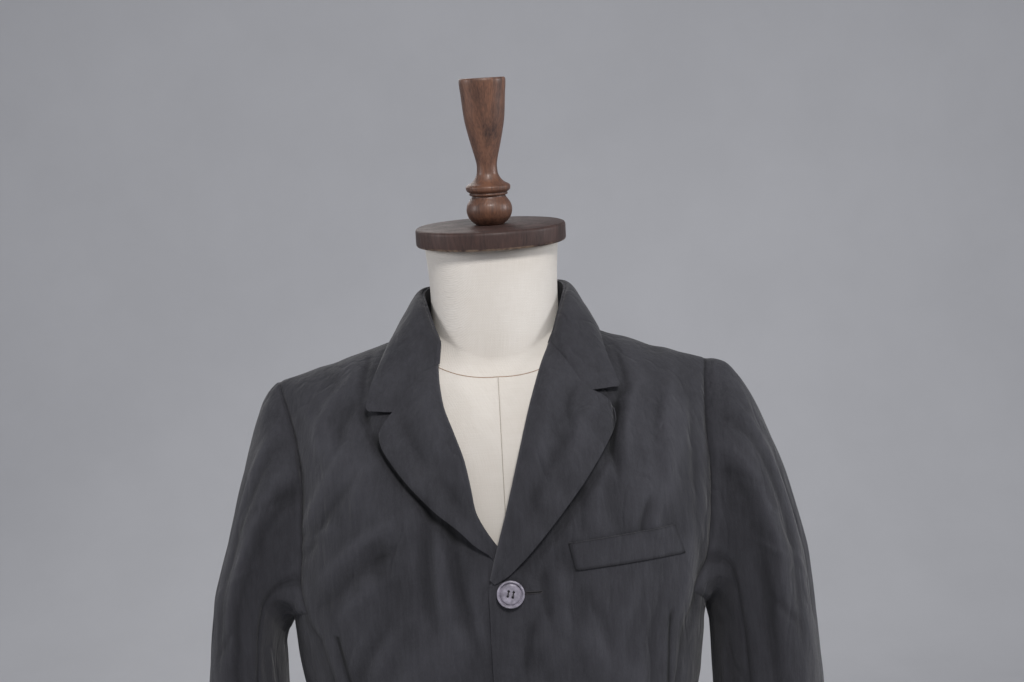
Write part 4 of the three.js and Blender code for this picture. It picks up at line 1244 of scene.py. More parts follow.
def lower_edge_chips(tree, place, seat_matrix, amount):
    """Mask of the chips along a turned piece's lower edge, where its seat is given in metres."""
    axis = seat_matrix.to_3x3() @ Vector((0, 0, 1))
    foot = axis.dot(seat_matrix.translation)
    height = tree.nodes.new("ShaderNodeVectorMath")
    height.operation = "DOT_PRODUCT"
    tree.links.new(place, height.inputs[0])
    height.inputs[1].default_value = axis
    chips = ranged(tree, noise_of(tree, place, 130.0, 4.0, 0.6), 0.42, 0.6)
    rim = ranged(tree, height.outputs["Value"], foot + CHIPS_FULL, foot + CHIPS_END, amount, 0)
    return maths(tree, "MULTIPLY", chips, rim)


def wood_material(name, dark, light, rough, coat, fineness, chipped_seat=None, chipped=0.0):
    """Stained wood with its grain upright, and chips on its lower edge if a seat is given."""
    material, tree, shader = new_material(name)
    place = place_of(tree)
    grain = place_group(tree, bpy.data.node_groups["grain"], Vector=place, Fineness=fineness)
    base = mixed(tree, grain.outputs["Mask"], colour(dark), colour(light))
    if chipped_seat is not None:
        chips = lower_edge_chips(tree, place, chipped_seat, chipped)
        base = mixed(tree, chips, base, colour(BARE_WOOD))
    tree.links.new(base, shader.inputs["Base Color"])
    tree.links.new(ranged(tree, grain.outputs["Mask"], 0, 1, rough + 0.08, rough - 0.06),
                   shader.inputs["Roughness"])
    shader.inputs["Coat Weight"].default_value = coat
    shader.inputs["Coat Roughness"].default_value = 0.25
    bump(tree, shader, grain.outputs["Height"], 0.35, 0.0004)
    return material


def plain_material(name, value, rough, mottled, scale):
    """One colour, mottled by a share of itself in patches of the scale."""
    material, tree, shader = new_material(name)
    patch = noise_of(tree, place_of(tree), scale, 4.0, 0.6)
    darker = tuple(c * (1 - mottled) for c in value)
    lighter = tuple(min(1, c * (1 + mottled)) for c in value)
    base = mixed(tree, ranged(tree, patch, 0.35, 0.65), colour(darker), colour(lighter))
    tree.links.new(base, shader.inputs["Base Color"])
    shader.inputs["Roughness"].default_value = rough
    bump(tree, shader, patch, 0.2, 0.0003)
    return material


class BlazerSettings(bpy.types.PropertyGroup):
    """Colours and amounts of the blazer's cloth and the form's linen."""

    cloth_dark: FloatVectorProperty(
        name="Cloth, dark", description="Colour of the unworn cloth", subtype="COLOR",
        default=(0.0185, 0.0182, 0.0222), min=0, max=1)
    cloth_light: FloatVectorProperty(
        name="Cloth, faded", description="Colour where wear and folds have faded the cloth",
        subtype="COLOR", default=(0.052, 0.0515, 0.061), min=0, max=1)
    # Painted shade in the depth of seams and darts
    cloth_seam_shade: FloatVectorProperty(
        name="Seams", description="Colour in the depth of a seam", subtype="COLOR",
        default=(0.006, 0.006, 0.0075), min=0, max=1)
    linen_light: FloatVectorProperty(
        name="Linen", description="Colour of the form's cover", subtype="COLOR",
        default=(0.76, 0.72, 0.67), min=0, max=1)
    linen_dark: FloatVectorProperty(
        name="Linen, shaded", description="Colour of the cover's slubs and stains",
        subtype="COLOR", default=(0.66, 0.61, 0.55), min=0, max=1)
    crease: FloatProperty(
        name="Creasing", description="Depth of the cloth's smaller creases against the photo's",
        default=1.0, min=0, max=2)
    cloth_thick: FloatProperty(
        name="Cloth", description="Thickness of the cloth", default=0.0015, min=0.0005, max=0.003,
        unit="LENGTH")


class StageSettings(bpy.types.PropertyGroup):
    """Floor, light and camera."""

    floor: FloatVectorProperty(
        name="Floor", description="Colour of the floor", subtype="COLOR",
        default=(0.62, 0.62, 0.64), min=0, max=1)
    light: FloatProperty(
        name="Light", description="Power of the main light", default=50.0, min=0, unit="POWER")
    camera_distance: FloatProperty(
        name="Camera distance", description="From the camera to the form's axis", default=1.394,
        unit="LENGTH")
    camera_roll: FloatProperty(
        name="Camera roll", description="How far the picture leans", default=math.radians(-3.2),
        subtype="ANGLE", unit="ROTATION")


ROLL_STEPS = 8


def roll_over(points, foot):
    """A sheet with a rounded roll added before its first column, back to the foot's points."""
    first = points[:, 0]
    middle = (first + foot) / 2
    chord = first - foot
    away = points[:, 0] - points[:, 2]
    away = away - chord * (np.sum(away * chord, -1) / np.sum(chord * chord, -1))[:, None]
    bulge = unit(away) * np.linalg.norm(chord, axis=-1)[:, None] / 2
    arc = []
    for turn in np.linspace(math.pi, 0, ROLL_STEPS, endpoint=False):
        arc.append(middle + chord / 2 * math.cos(turn) + bulge * math.sin(turn))
    return np.concatenate([np.stack(arc, 1), points], 1)


def round_corner(points, corner, along_a, along_b, radius):
    """Points near a corner drawn in, so that the corner follows a round of the radius."""
    basis = np.stack([unit(along_a), unit(along_b)], -1)
    local = (points - corner) @ np.linalg.pinv(basis).T
    share = np.clip(1 - local / radius, 0, 1)
    near = (share > 0).all(-1)
    p, q = share[..., 0], share[..., 1]
    wanted = np.stack([p * np.sqrt(1 - q * q / 2), q * np.sqrt(1 - p * p / 2)], -1)
    move = (share - wanted) * radius @ basis.T
    return points + np.where(near[..., None], move, 0)


# Outer edges of collar and lapel in front view, x and z. The cloth below them is pressed and given a
# painted shadow
OUTER_EDGES = {
    LEFT: [
        (98, 12), (112, -50), (93, -56), (112, -67), (104, -85), (95, -99), (77, -124), (55, -151),
        (32, -177), (12, -198),
    ],
    RIGHT: [
        (98, 8), (121, -61), (99, -64), (112, -81), (109, -92), (95, -114), (78, -134), (60, -152),
        (42, -167), (28, -181),
    ],
}
PRESSED_REACH = 7.5
PRESSED_DEPTH = 1.1
UNDER_EDGE_SHADE = 2.4


def under_edge(surface, hand):
    """1 under a lapel's or the collar's outer edge, fading out beside it."""
    x, z = surface[..., 0] * hand, surface[..., 2]
    nearest = np.full(x.shape, 1e6)
    for (x0, z0), (x1, z1) in zip(OUTER_EDGES[hand], OUTER_EDGES[hand][1:]):
        along_x, along_z = x1 - x0, z1 - z0
        t = np.clip(((x - x0) * along_x + (z - z0) * along_z) / (along_x**2 + along_z**2), 0, 1)
        nearest = np.minimum(nearest, np.hypot(x - x0 - t * along_x, z - z0 - t * along_z))
    return near(nearest, PRESSED_REACH)


# Painted shade of the cloth in a seam and on a dart, for each unit of its depth, which darkens it
SEAM_SHADE = 5
DART_SHADE = 6
DART_DEPTH = 0.9


class Pattern:
    """Panels and sleeves by name, each with its points, normals, and wear with painted shade."""

    def __init__(self, crease):
        self.crease = crease
        self.pieces = {}
        for hand in (LEFT, RIGHT):
            self.body(hand)
            self.sleeve(hand)

    def creased(self, surface, dip):
        side = side_of(surface)
        small = body_crease(surface[..., 0], surface[..., 2], side) * self.crease
        large = body_fold(surface[..., 0], surface[..., 2], side)
        return small + large + dip

    def body(self, hand):
        """Front, back and side panel of one side."""
        name = SIDE_NAME[hand]
        front, back, side = panel_grid(hand, FRONT), panel_grid(hand, BACK), side_grid(hand)
        rows = len(FINE_ROWS)
        seams = {
            "front": seam_dip(rows, PANEL_COLUMNS, ["last"]),
            "back": seam_dip(rows, PANEL_COLUMNS, ["first", "last"]),
            "side": seam_dip(len(side), SIDE_PANEL_COLUMNS, ["first", "last"]),
        }
        for label, surface in (("front", front), ("back", back), ("side", side)):
            dart = dart_line(surface[..., 0], surface[..., 2], side_of(surface))
            rise = self.creased(surface, seams[label] - DART_DEPTH * dart)
            # Under the lapels' and collar's outer edges the front dips into a shallow trough and darkens
            # as a painted shadow
            pressed_and_shaded = under_edge(surface, hand) if label == "front" else 0
            rise = rise - PRESSED_DEPTH * pressed_and_shaded
            points = surface + outward(surface) * (rise + lap_of(surface, hand))[..., None]
            normals = facing(grid_normals(points), outward(surface))
            # Painted shade: crease troughs, seams and darts come out darker in colour, and ridges
            # lighter as wear
            wear_and_shade = rise + SEAM_SHADE * seams[label] - DART_SHADE * dart
            wear_and_shade = wear_and_shade - UNDER_EDGE_SHADE * pressed_and_shaded
            self.pieces[f"{label}_{name}"] = (points, normals, wear_and_shade)

    def sleeve(self, hand):
        """Top and under sleeve of one side, cut from one round grid along their two seams."""
        name = SIDE_NAME[hand]
        front, back, side = (self.pieces[f"{part}_{name}"][0] for part in ("front", "back", "side"))
        loop = np.concatenate([
            front[:FINE_ARMHOLE, -1], side[0, 1:-1], back[FINE_ARMHOLE - 1 : 0 : -1, -1],
        ])
        closed_loop = np.concatenate([loop, loop[:1]])
        points, small = sleeve_grid(hand, closed_loop)
        count = len(loop)
        fore = FINE_ARMHOLE - 1 - ROW_STEPS
        hind = count - 4 * ROW_STEPS
        around = np.concatenate([points[:, count - 1 : count], points, points[:, 1:2]], 1)
        normals = grid_normals(around)[:, 1:-1]
        middle = points.mean(axis=1, keepdims=True)
        normals = facing(normals, points - middle)
        along_loop = np.arange(count + 1)
        dip = np.zeros(count + 1)
        for seam in (fore, hind):
            dip = np.minimum(dip, -SEAM_DEPTH * near(along_loop - seam, 1.6))
        rows = np.arange(len(points))[:, None]
        head = near(rows - 6, 4.5)
        hem = 0.7 * near(len(points) - 1 - rows, 5.0)
        rise = small * self.crease + dip[None] * smoothstep(rows, 0, 8) + (head + hem)
        rise = rise * smoothstep(rows, -2, 5)
        points = points + normals * rise[..., None]
        top = np.r_[hind:count, 0 : fore + 1]
        under = np.r_[fore : hind + 1]
        # Painted shade: crease troughs, the sleeve's two seams and its armhole row are darkened in
        # colour
        wear_and_shade = rise + SEAM_SHADE * dip[None] - SEAM_SHADE * near(rows, 1.2)
        for label, pick in (("top_sleeve", top), ("under_sleeve", under)):
            self.pieces[f"{label}_{name}"] = (points[:, pick], normals[:, pick], wear_and_shade[:, pick])


# Creases of the lapels themselves. Columns: x, z, x, z, bow, half-width, height
LAPEL_CREASES = {
    LEFT: [
        (72, -45, 66, -84, 7, 5, -2.2),
        (66, -84, 24, -150, 4, 6, -1.6),
        (88, -60, 60, -118, 3, 7, 1.6),
        (45, -50, 30, -110, -3, 6, 1.2),
    ],
    RIGHT: [
        (90, -70, 70, -116, 4, 6, -1.2),
        (70, -48, 56, -100, 3, 7, 1.4),
        (60, -118, 34, -160, 3, 6, -1.3),
    ],
}
LAPEL_TIP_RADIUS = {LEFT: 20, RIGHT: 8}
COLLAR_TIP_RADIUS = (4, 6)

# How far the outer edges of lapels and collar stand off, and the wear along their rolled edges
EDGE_LIFT = 3.2
LAPEL_ROLL_WEAR = 1.2
COLLAR_ROLL_WEAR = 0.8


def own_crease(hand, surface):
    """Height of a lapel's own creases."""
    x, z = surface[..., 0] * hand, surface[..., 2]
    total = np.zeros(x.shape)
    for row in LAPEL_CREASES[hand]:
        total = total + ridge(x, z, *row)
    return total


def lapel_points(hand, crease):
    """A lapel that follows the front's folds and rolls over into its edge."""
    surface, offset, u = lapel_grid(hand)
    side = np.full(surface.shape[:2], FRONT)
    rows = np.linspace(0, 1, len(surface))[:, None]
    offset = offset + EDGE_LIFT * smoothstep(u, 0.5, 1)[None] * (1 - smoothstep(rows, 0.55, 0.95))
    rise = body_fold(surface[..., 0], surface[..., 2], side)
    small = body_crease(surface[..., 0], surface[..., 2], side) * crease
    own = own_crease(hand, surface) * crease
    out = outward(surface)
    points = surface + out * (offset + rise + small + own)[..., None]
    foot = surface[:, 0] + out[:, 0] * (rise + small + lap_of(surface, hand))[:, 0, None]
    corner = points[0, -1].copy()
    points = round_corner(
        points, corner, points[0, -8] - corner, points[LAPEL_ROW_STEPS, -1] - corner,
        LAPEL_TIP_RADIUS[hand],
    )
    points = roll_over(points, foot)
    normals = facing(grid_normals(points), outward(points))
    rolled = np.full((len(points), ROLL_STEPS), LAPEL_ROLL_WEAR)
    return points, normals, np.concatenate([rolled, small + own], 1)


def collar_points(crease):
    """The collar's stand and its fall, which rolls over from the stand's top."""
    stand, fall = collar_grids()
    tops = stand[:, -1]
    fade = np.linspace(0, 1, COLLAR_STEPS + 1)[:-1, None]
    start = fall[0, 0] - (fall[COLLAR_STEPS, 0] - tops[0])
    end = fall[-1, 0] - (fall[-1 - COLLAR_STEPS, 0] - tops[-1])
    lead = start * (1 - fade) + tops[0] * fade
    tail = tops[-1] * (1 - fade) + end * fade
    foot = np.concatenate([lead, tops, tail])
    out = outward(fall)
    u = np.linspace(0, 1, fall.shape[1])[None]
    place = lengths(fall, 0)
    small = 0.7 * rumple(place, u * 60, 26, 17, 3.0) * smoothstep(u, 0.1, 0.6) * crease
    edge = EDGE_LIFT * smoothstep(u, 0.6, 1) * np.ones_like(small)
    points = fall + out * (small + edge)[..., None]
    for row, beside, radius in ((0, 6, COLLAR_TIP_RADIUS[0]), (-1, -7, COLLAR_TIP_RADIUS[1])):
        corner = points[row, -1].copy()
        up, aside = points[row, -8] - corner, points[beside, -1] - corner
        points = round_corner(points, corner, up, aside, radius)
    points = roll_over(points, foot)
    rolled = np.full((len(points), ROLL_STEPS), COLLAR_ROLL_WEAR)
    wear_and_shade = np.concatenate([rolled, small], 1)
    stand_normals = facing(grid_normals(stand), unit(stand * np.array([1, 1, 0])))
    normals = facing(grid_normals(points), outward(points))
    return (stand, stand_normals, np.zeros(stand.shape[:2])), (points, normals, wear_and_shade)


# Breast welt in front view, x and z of its inner and outer corners
WELT = {"top": ((55, -183), (154, -175)), "low": ((60, -208), (162, -202))}
WELT_THICK = 1.6
WELT_OUT = 1.9
WELT_ROWS = 19
WELT_COLUMNS = 61


def welt_points():
    """The welt, sewn down on three sides, with its upper edge standing off a little and with painted
    shadow lines along its edges.
    """
    (top_in, top_out), (low_in, low_out) = WELT["top"], WELT["low"]
    u = np.linspace(0, 1, WELT_COLUMNS)[None, :, None]
    t = np.linspace(0, 1, WELT_ROWS)[:, None, None]
    top = np.array(top_in) * (1 - u) + np.array(top_out) * u
    low = np.array(low_in) * (1 - u) + np.array(low_out) * u
    flat = top * (1 - t) + low * t
    surface = on_front(flat[..., 0], flat[..., 1])
    side = np.full(surface.shape[:2], FRONT)
    rise = body_fold(surface[..., 0], surface[..., 2], side)
    rise = rise + body_crease(surface[..., 0], surface[..., 2], side)
    rise = rise + lap_of(surface, LEFT) + WELT_OUT
    from_top = np.arange(WELT_ROWS)[:, None]
    from_foot = WELT_ROWS - 1 - from_top
    from_first = np.arange(WELT_COLUMNS)[None]
    from_last = WELT_COLUMNS - 1 - from_first
    sewn = near(from_foot, 1.6) + near(from_first, 1.8) + near(from_last, 1.8)
    mouth = 0.8 * near(from_top, 4.0) * np.sin(u[..., 0] * math.pi)
    rise = rise - 0.5 * np.minimum(sewn, 1) + mouth
    points = surface + outward(surface) * rise[..., None]
    # Painted shadow lines along the welt's bottom, its two ends and its top edge
    edge_shadow = near(from_foot, 1.0) + near(from_first, 1.0)
    edge_shadow = edge_shadow + 0.6 * near(from_last, 1.0) + 0.5 * near(from_top, 0.8)
    return points, facing(grid_normals(points), outward(points)), 0.6 - 6 * edge_shadow


# Places of the buttons on the left front, and how each is turned, in degrees
BUTTONS = [(1, -225), (1, -340), (1, -455)]
BUTTON_TURN = (14, -9, 31)
BUTTON_OUT = 2.0
BUTTON_PROFILE = [
    (0, 0.3), (6, 0.3), (9.6, 0.5), (11.4, 1.1), (12.3, 1.9), (12.5, 2.6), (12.35, 3.3), (11.9, 3.8),
    (11.3, 3.95), (10.8, 3.6), (10.5, 2.4), (10.2, 1.5), (9.7, 1.5), (9.3, 2.2), (8.6, 2.8),
    (7.6, 3.0), (5, 2.85), (0.02, 2.7),
]
HOLE_RADIUS = 1.15
HOLE_SPACING = 4.6

# A buttonhole's middle beside its button, half the length and height of its lips, and half its slit
BUTTONHOLE_AWAY = 20.5
LIP_HALF = (7.5, 1.05)
SLIT_HALF = 7.2


def seat(k):
    """The frame of a button: its place on the left front and the way out of the cloth."""
    x, z = BUTTONS[k]
    surface = on_front(np.float64(x), np.float64(z))
    out = outward(surface)
    rise = body_fold(surface[None, 0], surface[None, 2], np.array([FRONT]))[0]
    across = unit(np.cross(np.array([0, 0, 1.0]), out))
    across = across if across[0] > 0 else -across
    up = np.cross(out, across)
    up = up if up[2] > 0 else -up
    turn = math.radians(BUTTON_TURN[k])
    turned_across = across * math.cos(turn) - up * math.sin(turn)
    turned_up = across * math.sin(turn) + up * math.cos(turn)
    return surface + out * (rise + LAP + BUTTON_OUT), out, turned_across, turned_up


def button_mesh(name, material):
    """A turned button with a rim, a groove and four holes drilled through it."""
    profile = round_profile(BUTTON_PROFILE[1:-1], 3)
    piece = turned(name, profile, 72, material)
    holes = bpy.data.meshes.new("holes")
    build = bmesh.new()
    half = HOLE_SPACING / 2 * MM
    radius = HOLE_RADIUS * MM
    for across in (-half, half):
        for up in (-half, half):
            place = Matrix.Translation((across, up, 0.002))
            bmesh.ops.create_cone(
                build, cap_ends=True, segments=20, radius1=radius, radius2=radius, depth=0.01,
                matrix=place)
    build.to_mesh(holes)
    build.free()
    drill = bpy.data.objects.new("holes", holes)
    bpy.context.scene.collection.objects.link(drill)
    cut = piece.modifiers.new("Holes", "BOOLEAN")
    cut.operation = "DIFFERENCE"
    cut.solver = "EXACT"
    cut.object = drill
    depsgraph = bpy.context.evaluated_depsgraph_get()
    solid = bpy.data.meshes.new_from_object(piece.evaluated_get(depsgraph))
    plain = piece.data
    piece.modifiers.clear()
    piece.data = solid
    bpy.data.meshes.remove(plain)
    bpy.data.objects.remove(drill)
    bpy.data.meshes.remove(holes)
    solid.materials.clear()
    solid.materials.append(material)
    return piece


def joined(name, meshes_of, material):
    """One piece made of several, which are taken out of the scene."""
    build = bmesh.new()
    for piece in meshes_of:
        build.from_mesh(piece.data)
    whole = bpy.data.meshes.new(name)
    build.to_mesh(whole)
    build.free()
    for piece in meshes_of:
        mesh = piece.data
        bpy.data.objects.remove(piece)
        bpy.data.meshes.remove(mesh)
    whole.materials.append(material)
    whole.polygons.foreach_set("use_smooth", np.ones(len(whole.polygons), bool))
    result = bpy.data.objects.new(name, whole)
    bpy.context.scene.collection.objects.link(result)
    return result


def stitches(k, material):
    """Two slanting stitches through a button's holes."""
    place, out, across, up = seat(k)
    half = HOLE_SPACING / 2
    made = []
    for shift in (-1, 1):
        start = place + across * half * shift + up * half
        end = place + across * half * shift - up * half
        t = np.linspace(0, 1, 13)[:, None]
        arch = 0.9 * np.sin(t * math.pi)
        path = start * (1 - t) + end * t + out * (2.2 + arch)
        for strand in (-0.35, 0.0, 0.35):
            made.append(tube("strand", path + across * strand, 0.3, material))
    return joined(f"button_{k + 1}_thread", made, material)


def buttonhole(k, thread, dark):
    """A worked buttonhole beside the button: its mouth, a near-black tube as painted shadow in the slit,
    and the stitched lips round it.
    """
    x, z = BUTTONS[k]
    x = x + BUTTONHOLE_AWAY
    lips = []
    slit = []
    for t in np.linspace(0, 2 * math.pi, 49):
        px = x + LIP_HALF[0] * np.sign(math.cos(t)) * abs(math.cos(t)) ** 0.25
        pz = z + LIP_HALF[1] * np.sign(math.sin(t)) * abs(math.sin(t)) ** 0.6
        lips.append(front_point(px, pz, 0.9))
    for t in np.linspace(-1, 1, 17):
        slit.append(front_point(x + SLIT_HALF * t, z, 0.75))
    rim = tube(f"buttonhole_{k + 1}", lips, 0.42, thread)
    # The mouth's near-black colour is painted shadow in the slit
    mouth = tube(f"buttonhole_{k + 1}_mouth", slit, 0.4, dark)
    return rim, mouth


def front_point(x, z, out):
    """A place on the creased left front, as far outside its middle as asked."""
    surface = on_front(np.float64(x), np.float64(z))
    side = np.array([FRONT])
    rise = body_fold(surface[None, 0], surface[None, 2], side)[0]
    rise += body_crease(surface[None, 0], surface[None, 2], side)[0]
    rise += lap_of(surface[None], LEFT)[0]
    return surface + outward(surface) * (rise + out)


# The form's neck seam, counted from its top ring, and how many rings its front seam runs below it
NECK_SEAM_RING = -19
FRONT_SEAM_RINGS = 30

# Turned pieces from their foot up. Columns: radius, height
CAP_PROFILE = [
    (0.1, 0), (70.5, 0), (71.6, 0.5), (72.3, 1.6), (72.5, 3.5), (72.5, 14), (72.3, 15.6),
    (71.5, 16.9), (70, CAP_THICK), (0.1, CAP_THICK),
]
FINIAL_PROFILE = [
    (0.1, 0), (13.5, 0), (17.2, 3), (21, 8.5), (22.1, 14), (21.2, 19), (18.6, 23.5), (16.6, 26.4),
    (16.2, 27.6), (18.2, 28.4), (18.6, 29.6), (18.2, 30.6), (20.2, 32), (21.4, 34.2), (21.5, 36),
    (20.4, 37.8), (17.2, 39.6), (14.2, 41.8), (11.9, 45), (10.1, 49.5), (9.7, 56), (10.6, 62),
    (12.8, 71), (16.4, 86), (19.3, 101), (21.3, 124), (22.3, 136), (21.6, 138.6), (20, 139),
    (0.1, 139),
]
FINIAL_GAP = 0.3


def neck_place(height):
    """Where a turned piece stands on the neck's leaning axis, in metres."""
    y = CAP_Y - math.sin(TILT) * height
    z = CAP_UNDER + EYE + math.cos(TILT) * height
    return Matrix.Translation((0, y * MM, z * MM)) @ Matrix.Rotation(TILT, 4, "X")


def solid_piece(piece, node_name):
    """A rigid piece, which takes the place of a solid where one is named."""
    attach(piece, "root")
    if node_name:
        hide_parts(node_name)


def palette():
    """Materials by name, made on the first call."""
    if "weave" not in bpy.data.node_groups:
        weave_group()
        grain_group()
    if "charcoal_cloth" not in bpy.data.materials:
        settings = bpy.context.scene.blazer
        cloth_material("charcoal_cloth", settings)
        linen_material(settings)
        wood_material("cap_timber", (0.022, 0.0105, 0.0085), (0.066, 0.031, 0.024), 0.6, 0.05, 0.8,
                      chipped_seat=neck_place(0), chipped=0.7)
        wood_material("turned_timber", (0.036, 0.015, 0.01), (0.175, 0.078, 0.044), 0.5, 0.15, 1.3)
        wood_material("stand_timber", (0.022, 0.013, 0.011), (0.065, 0.038, 0.03), 0.45, 0.2, 0.7)
        plain_material("polished_horn", (0.27, 0.25, 0.30), 0.34, 0.3, 240.0)
        plain_material("thread", (0.03, 0.027, 0.03), 0.8, 0.3, 2500.0)
        # Near-black painted shadow for the buttonholes' slits
        plain_material("slit_shadow", (0.006, 0.006, 0.007), 0.9, 0.2, 900.0)
        plain_material("seam_tape", (0.36, 0.25, 0.18), 0.85, 0.25, 1500.0)
        plain_material("seam_shadow", (0.42, 0.38, 0.33), 0.9, 0.2, 1500.0)
    return bpy.data.materials


PATTERNS = {}


def pattern():
    """The pattern for the present creasing, worked out once."""
    crease = bpy.context.scene.blazer.crease
    if crease not in PATTERNS:
        PATTERNS[crease] = Pattern(crease)
    return PATTERNS[crease]


def thick_mm():
    """Thickness of the cloth."""
    return bpy.context.scene.blazer.cloth_thick / MM


class BLAZER_OT_body(bpy.types.Operator):
    """Fronts, backs and side panels, with their creases and seams"""

    bl_idname = "blazer.body"
    bl_label = "Body panels"

    def execute(self, context):
        material = palette()["charcoal_cloth"]
        for name, made in pattern().pieces.items():
            if "sleeve" not in name:
                link_sheet(f"{name}_cloth", made, material, name, thick_mm())
        return {"FINISHED"}


class BLAZER_OT_sleeves(bpy.types.Operator):
    """Two-piece sleeves set into the armholes"""

    bl_idname = "blazer.sleeves"
    bl_label = "Sleeves"

    def execute(self, context):
        material = palette()["charcoal_cloth"]
        for name, made in pattern().pieces.items():
            if "sleeve" in name:
                link_sheet(f"{name}_cloth", made, material, name, thick_mm())
        return {"FINISHED"}


class BLAZER_OT_lapels(bpy.types.Operator):
    """Notch lapels that roll over from the front edges"""

    bl_idname = "blazer.lapels"
    bl_label = "Lapels"

    def execute(self, context):
        material = palette()["charcoal_cloth"]
        for hand in (LEFT, RIGHT):
            name = SIDE_NAME[hand]
            made = lapel_points(hand, context.scene.blazer.crease)
            link_sheet(f"lapel_{name}_cloth", made, material, f"lapel_{name}",
                       thick_mm())
        return {"FINISHED"}


class BLAZER_OT_collar(bpy.types.Operator):
    """Collar stand round the neck and the fall that turns over it"""

    bl_idname = "blazer.collar"
    bl_label = "Collar"

    def execute(self, context):
        material = palette()["charcoal_cloth"]
        stand, fall = collar_points(context.scene.blazer.crease)
        link_sheet("collar_stand_cloth", stand, material, "collar_stand",
                   thick_mm())
        link_sheet("collar_fall_cloth", fall, material, "collar_fall",
                   thick_mm())
        return {"FINISHED"}


class BLAZER_OT_welt(bpy.types.Operator):
    """Slanting breast welt on the left front"""

    bl_idname = "blazer.welt"
    bl_label = "Breast welt"

    def execute(self, context):
        link_sheet("breast_welt_cloth", welt_points(), palette()["charcoal_cloth"], "breast_welt",
                   WELT_THICK)
        return {"FINISHED"}


class BLAZER_OT_buttons(bpy.types.Operator):
    """Four-hole buttons, their thread and the buttonholes"""

    bl_idname = "blazer.buttons"
    bl_label = "Buttons"

    def execute(self, context):
        materials = palette()
        for k in range(len(BUTTONS)):
            button = button_mesh(f"button_{k + 1}_horn", materials["polished_horn"])
            place, out, across, up = seat(k)
            frame_matrix = Matrix(np.stack([across, up, out], -1).tolist()).to_4x4()
            where = Vector(place * MM) + Vector((0, 0, EYE * MM))
            button.data.transform(Matrix.Translation(where) @ frame_matrix)
            solid_piece(button, f"button_{k + 1}")
            solid_piece(stitches(k, materials["thread"]), None)
            for piece in buttonhole(k, materials["thread"], materials["slit_shadow"]):
                solid_piece(piece, None)
        return {"FINISHED"}


class BLAZER_OT_form(bpy.types.Operator):
    """The limbless dress form, with its seams"""

    bl_idname = "blazer.form"
    bl_label = "Dress form"

    def execute(self, context):
        materials = palette()
        rings = form_grid(FORM_SIDES, FORM_STEPS)
        body = ring_mesh("form_linen_body", swayed(rings), materials["cream_linen"])
        solid_piece(body, "form_body")
        base = swayed(rings[NECK_SEAM_RING])
        path = np.concatenate([base, base[:1]])
        path = path + unit(path * np.array([1, 1, 0])) * 0.05
        solid_piece(tube("neck_seam", path, 0.45, materials["seam_tape"]), None)
        front = FORM_SIDES * 3 // 4
        line = rings[NECK_SEAM_RING - FRONT_SEAM_RINGS : NECK_SEAM_RING + 1, front]
        line = swayed(line) + np.array([0, -0.05, 0.02])
        solid_piece(tube("front_seam", line, 0.4, materials["seam_shadow"]), None)
        return {"FINISHED"}


class BLAZER_OT_cap(bpy.types.Operator):
    """Wooden neck cap and the turned handle on it"""

    bl_idname = "blazer.cap"
    bl_label = "Neck cap and handle"

    def execute(self, context):
        materials = palette()
        cap = turned("neck_cap_disc", CAP_PROFILE, 128, materials["cap_timber"], neck_place(0))
        solid_piece(cap, "neck_cap")
        profile = round_profile(FINIAL_PROFILE[1:-1], 5)
        place = neck_place(CAP_THICK + FINIAL_GAP)
        handle = turned("turned_handle", profile, 96, materials["turned_timber"], place)
        solid_piece(handle, "finial")
        return {"FINISHED"}


class BLAZER_OT_stand(bpy.types.Operator):
    """Finish of the pole and the round base"""

    bl_idname = "blazer.stand"
    bl_label = "Pole and base"

    def execute(self, context):
        material = palette()["stand_timber"]
        for name in ("pole", "base"):
            bpy.data.objects[name].material_slots[0].material = material
        return {"FINISHED"}


# Metres: how far the camera stands to the side, where the lights aim, and the floor's half-width,
# its back edge, the radius in which it curves up, and the wall's height
CAMERA_ASIDE = 0.0147
LIGHT_AIM = (0, 0, 0.85)
FLOOR_HALF = 6.0
FLOOR_BACK = 2.2
WALL_ROUND = 0.9
WALL_TOP = 5.0
WALL_STEPS = 12


def backdrop():
    """A flat floor that curves up into a wall behind the form."""
    line = [(-FLOOR_HALF, 0.0), (FLOOR_BACK, 0.0)]
    for k in range(1, WALL_STEPS + 1):
        turn = math.radians(90 * k / WALL_STEPS)
        across = FLOOR_BACK + WALL_ROUND * math.sin(turn)
        line.append((across, WALL_ROUND * (1 - math.cos(turn))))
    line.append((FLOOR_BACK + WALL_ROUND, WALL_TOP))
    points = [(x, y, z) for y, z in line for x in (-FLOOR_HALF, FLOOR_HALF)]
    faces = [(2 * k, 2 * k + 1, 2 * k + 3, 2 * k + 2) for k in range(len(line) - 1)]
    return points, [], faces


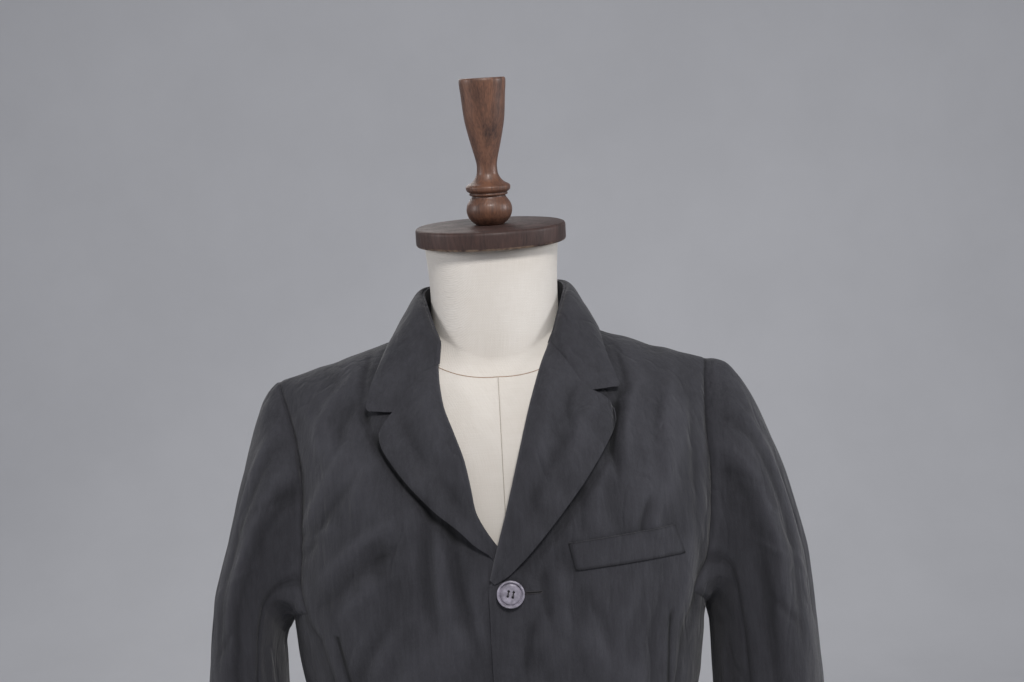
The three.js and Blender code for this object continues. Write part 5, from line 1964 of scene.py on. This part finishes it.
class BLAZER_OT_stage(bpy.types.Operator):
    """Pale floor, soft studio light and the camera"""

    bl_idname = "blazer.stage"
    bl_label = "Stage"

    def execute(self, context):
        settings = context.scene.blazer_stage
        scene = context.scene
        floor = bpy.data.meshes.new("floor")
        floor.from_pydata(*backdrop())
        floor.polygons.foreach_set("use_smooth", np.ones(len(floor.polygons), bool))
        material = plain_material("floor_paint", tuple(settings.floor), 0.9, 0.02, 3.0)
        floor.materials.append(material)
        ground = bpy.data.objects.new("floor", floor)
        scene.collection.objects.link(ground)

        lens = bpy.data.cameras.new("camera")
        lens.lens = 50
        lens.sensor_width = 36
        lens.dof.use_dof = False
        camera = bpy.data.objects.new("camera", lens)
        scene.collection.objects.link(camera)
        camera.matrix_world = (
            Matrix.Translation((CAMERA_ASIDE, -settings.camera_distance, EYE * MM))
            @ Matrix.Rotation(math.pi / 2, 4, "X")
            @ Matrix.Rotation(settings.camera_roll, 4, "Z")
        )
        scene.camera = camera

        lamps = [
            ("window_light", (0.4, -2.15, 2.35), 0.6, settings.light, (1.0, 0.985, 0.97)),
            ("side_light", (2.5, -0.3, 1.5), 0.8, settings.light * 0.5, (0.95, 0.97, 1.0)),
            ("far_light", (-2.5, -0.5, 1.6), 0.9, settings.light * 0.4, (0.97, 0.98, 1.0)),
            ("back_light", (-0.8, 2.0, 2.4), 1.6, settings.light * 0.3, (1.0, 0.99, 0.97)),
        ]
        for name, place, size, power, tint in lamps:
            lamp = bpy.data.lights.new(name, "AREA")
            lamp.shape = "DISK"
            lamp.size = size
            lamp.energy = power
            lamp.color = tint
            light = bpy.data.objects.new(name, lamp)
            scene.collection.objects.link(light)
            aim = Vector(LIGHT_AIM) - Vector(place)
            turn = aim.to_track_quat("-Z", "Y").to_matrix().to_4x4()
            light.matrix_world = Matrix.Translation(place) @ turn

        world = bpy.data.worlds.new("studio")
        world.use_nodes = True
        sky = world.node_tree.nodes.get("Background")
        sky.inputs["Color"].default_value = (0.86, 0.9, 1.0, 1)
        sky.inputs["Strength"].default_value = 0.21
        scene.world = world
        scene.view_settings.view_transform = "Standard"
        return {"FINISHED"}


PIECE_OPERATORS = (
    BLAZER_OT_form, BLAZER_OT_cap, BLAZER_OT_stand, BLAZER_OT_body, BLAZER_OT_sleeves,
    BLAZER_OT_lapels, BLAZER_OT_collar, BLAZER_OT_welt, BLAZER_OT_buttons, BLAZER_OT_stage,
)


class BLAZER_PT_panel(bpy.types.Panel):
    """Settings of the blazer, and a button for each group of pieces"""

    bl_idname = "BLAZER_PT_panel"
    bl_label = "Blazer on dress form"
    bl_space_type = "VIEW_3D"
    bl_region_type = "UI"
    bl_category = "Blazer"

    def draw(self, context):
        for group in (context.scene.blazer, context.scene.blazer_stage):
            for name in group.__annotations__:
                self.layout.prop(group, name)
        for operator in PIECE_OPERATORS:
            self.layout.operator(operator.bl_idname)


CLASSES = (BlazerSettings, StageSettings, *PIECE_OPERATORS, BLAZER_PT_panel)


def register():
    for made in CLASSES:
        bpy.utils.register_class(made)
    bpy.types.Scene.blazer = PointerProperty(type=BlazerSettings)
    bpy.types.Scene.blazer_stage = PointerProperty(type=StageSettings)


def unregister():
    del bpy.types.Scene.blazer_stage
    del bpy.types.Scene.blazer
    for made in reversed(CLASSES):
        bpy.utils.unregister_class(made)


def main():
    """Build everything."""
    register()
    bpy.ops.blazer.form()
    bpy.ops.blazer.cap()
    bpy.ops.blazer.stand()
    bpy.ops.blazer.body()
    bpy.ops.blazer.sleeves()
    bpy.ops.blazer.lapels()
    bpy.ops.blazer.collar()
    bpy.ops.blazer.welt()
    bpy.ops.blazer.buttons()
    bpy.ops.blazer.stage()


if __name__ == "__main__":
    main()
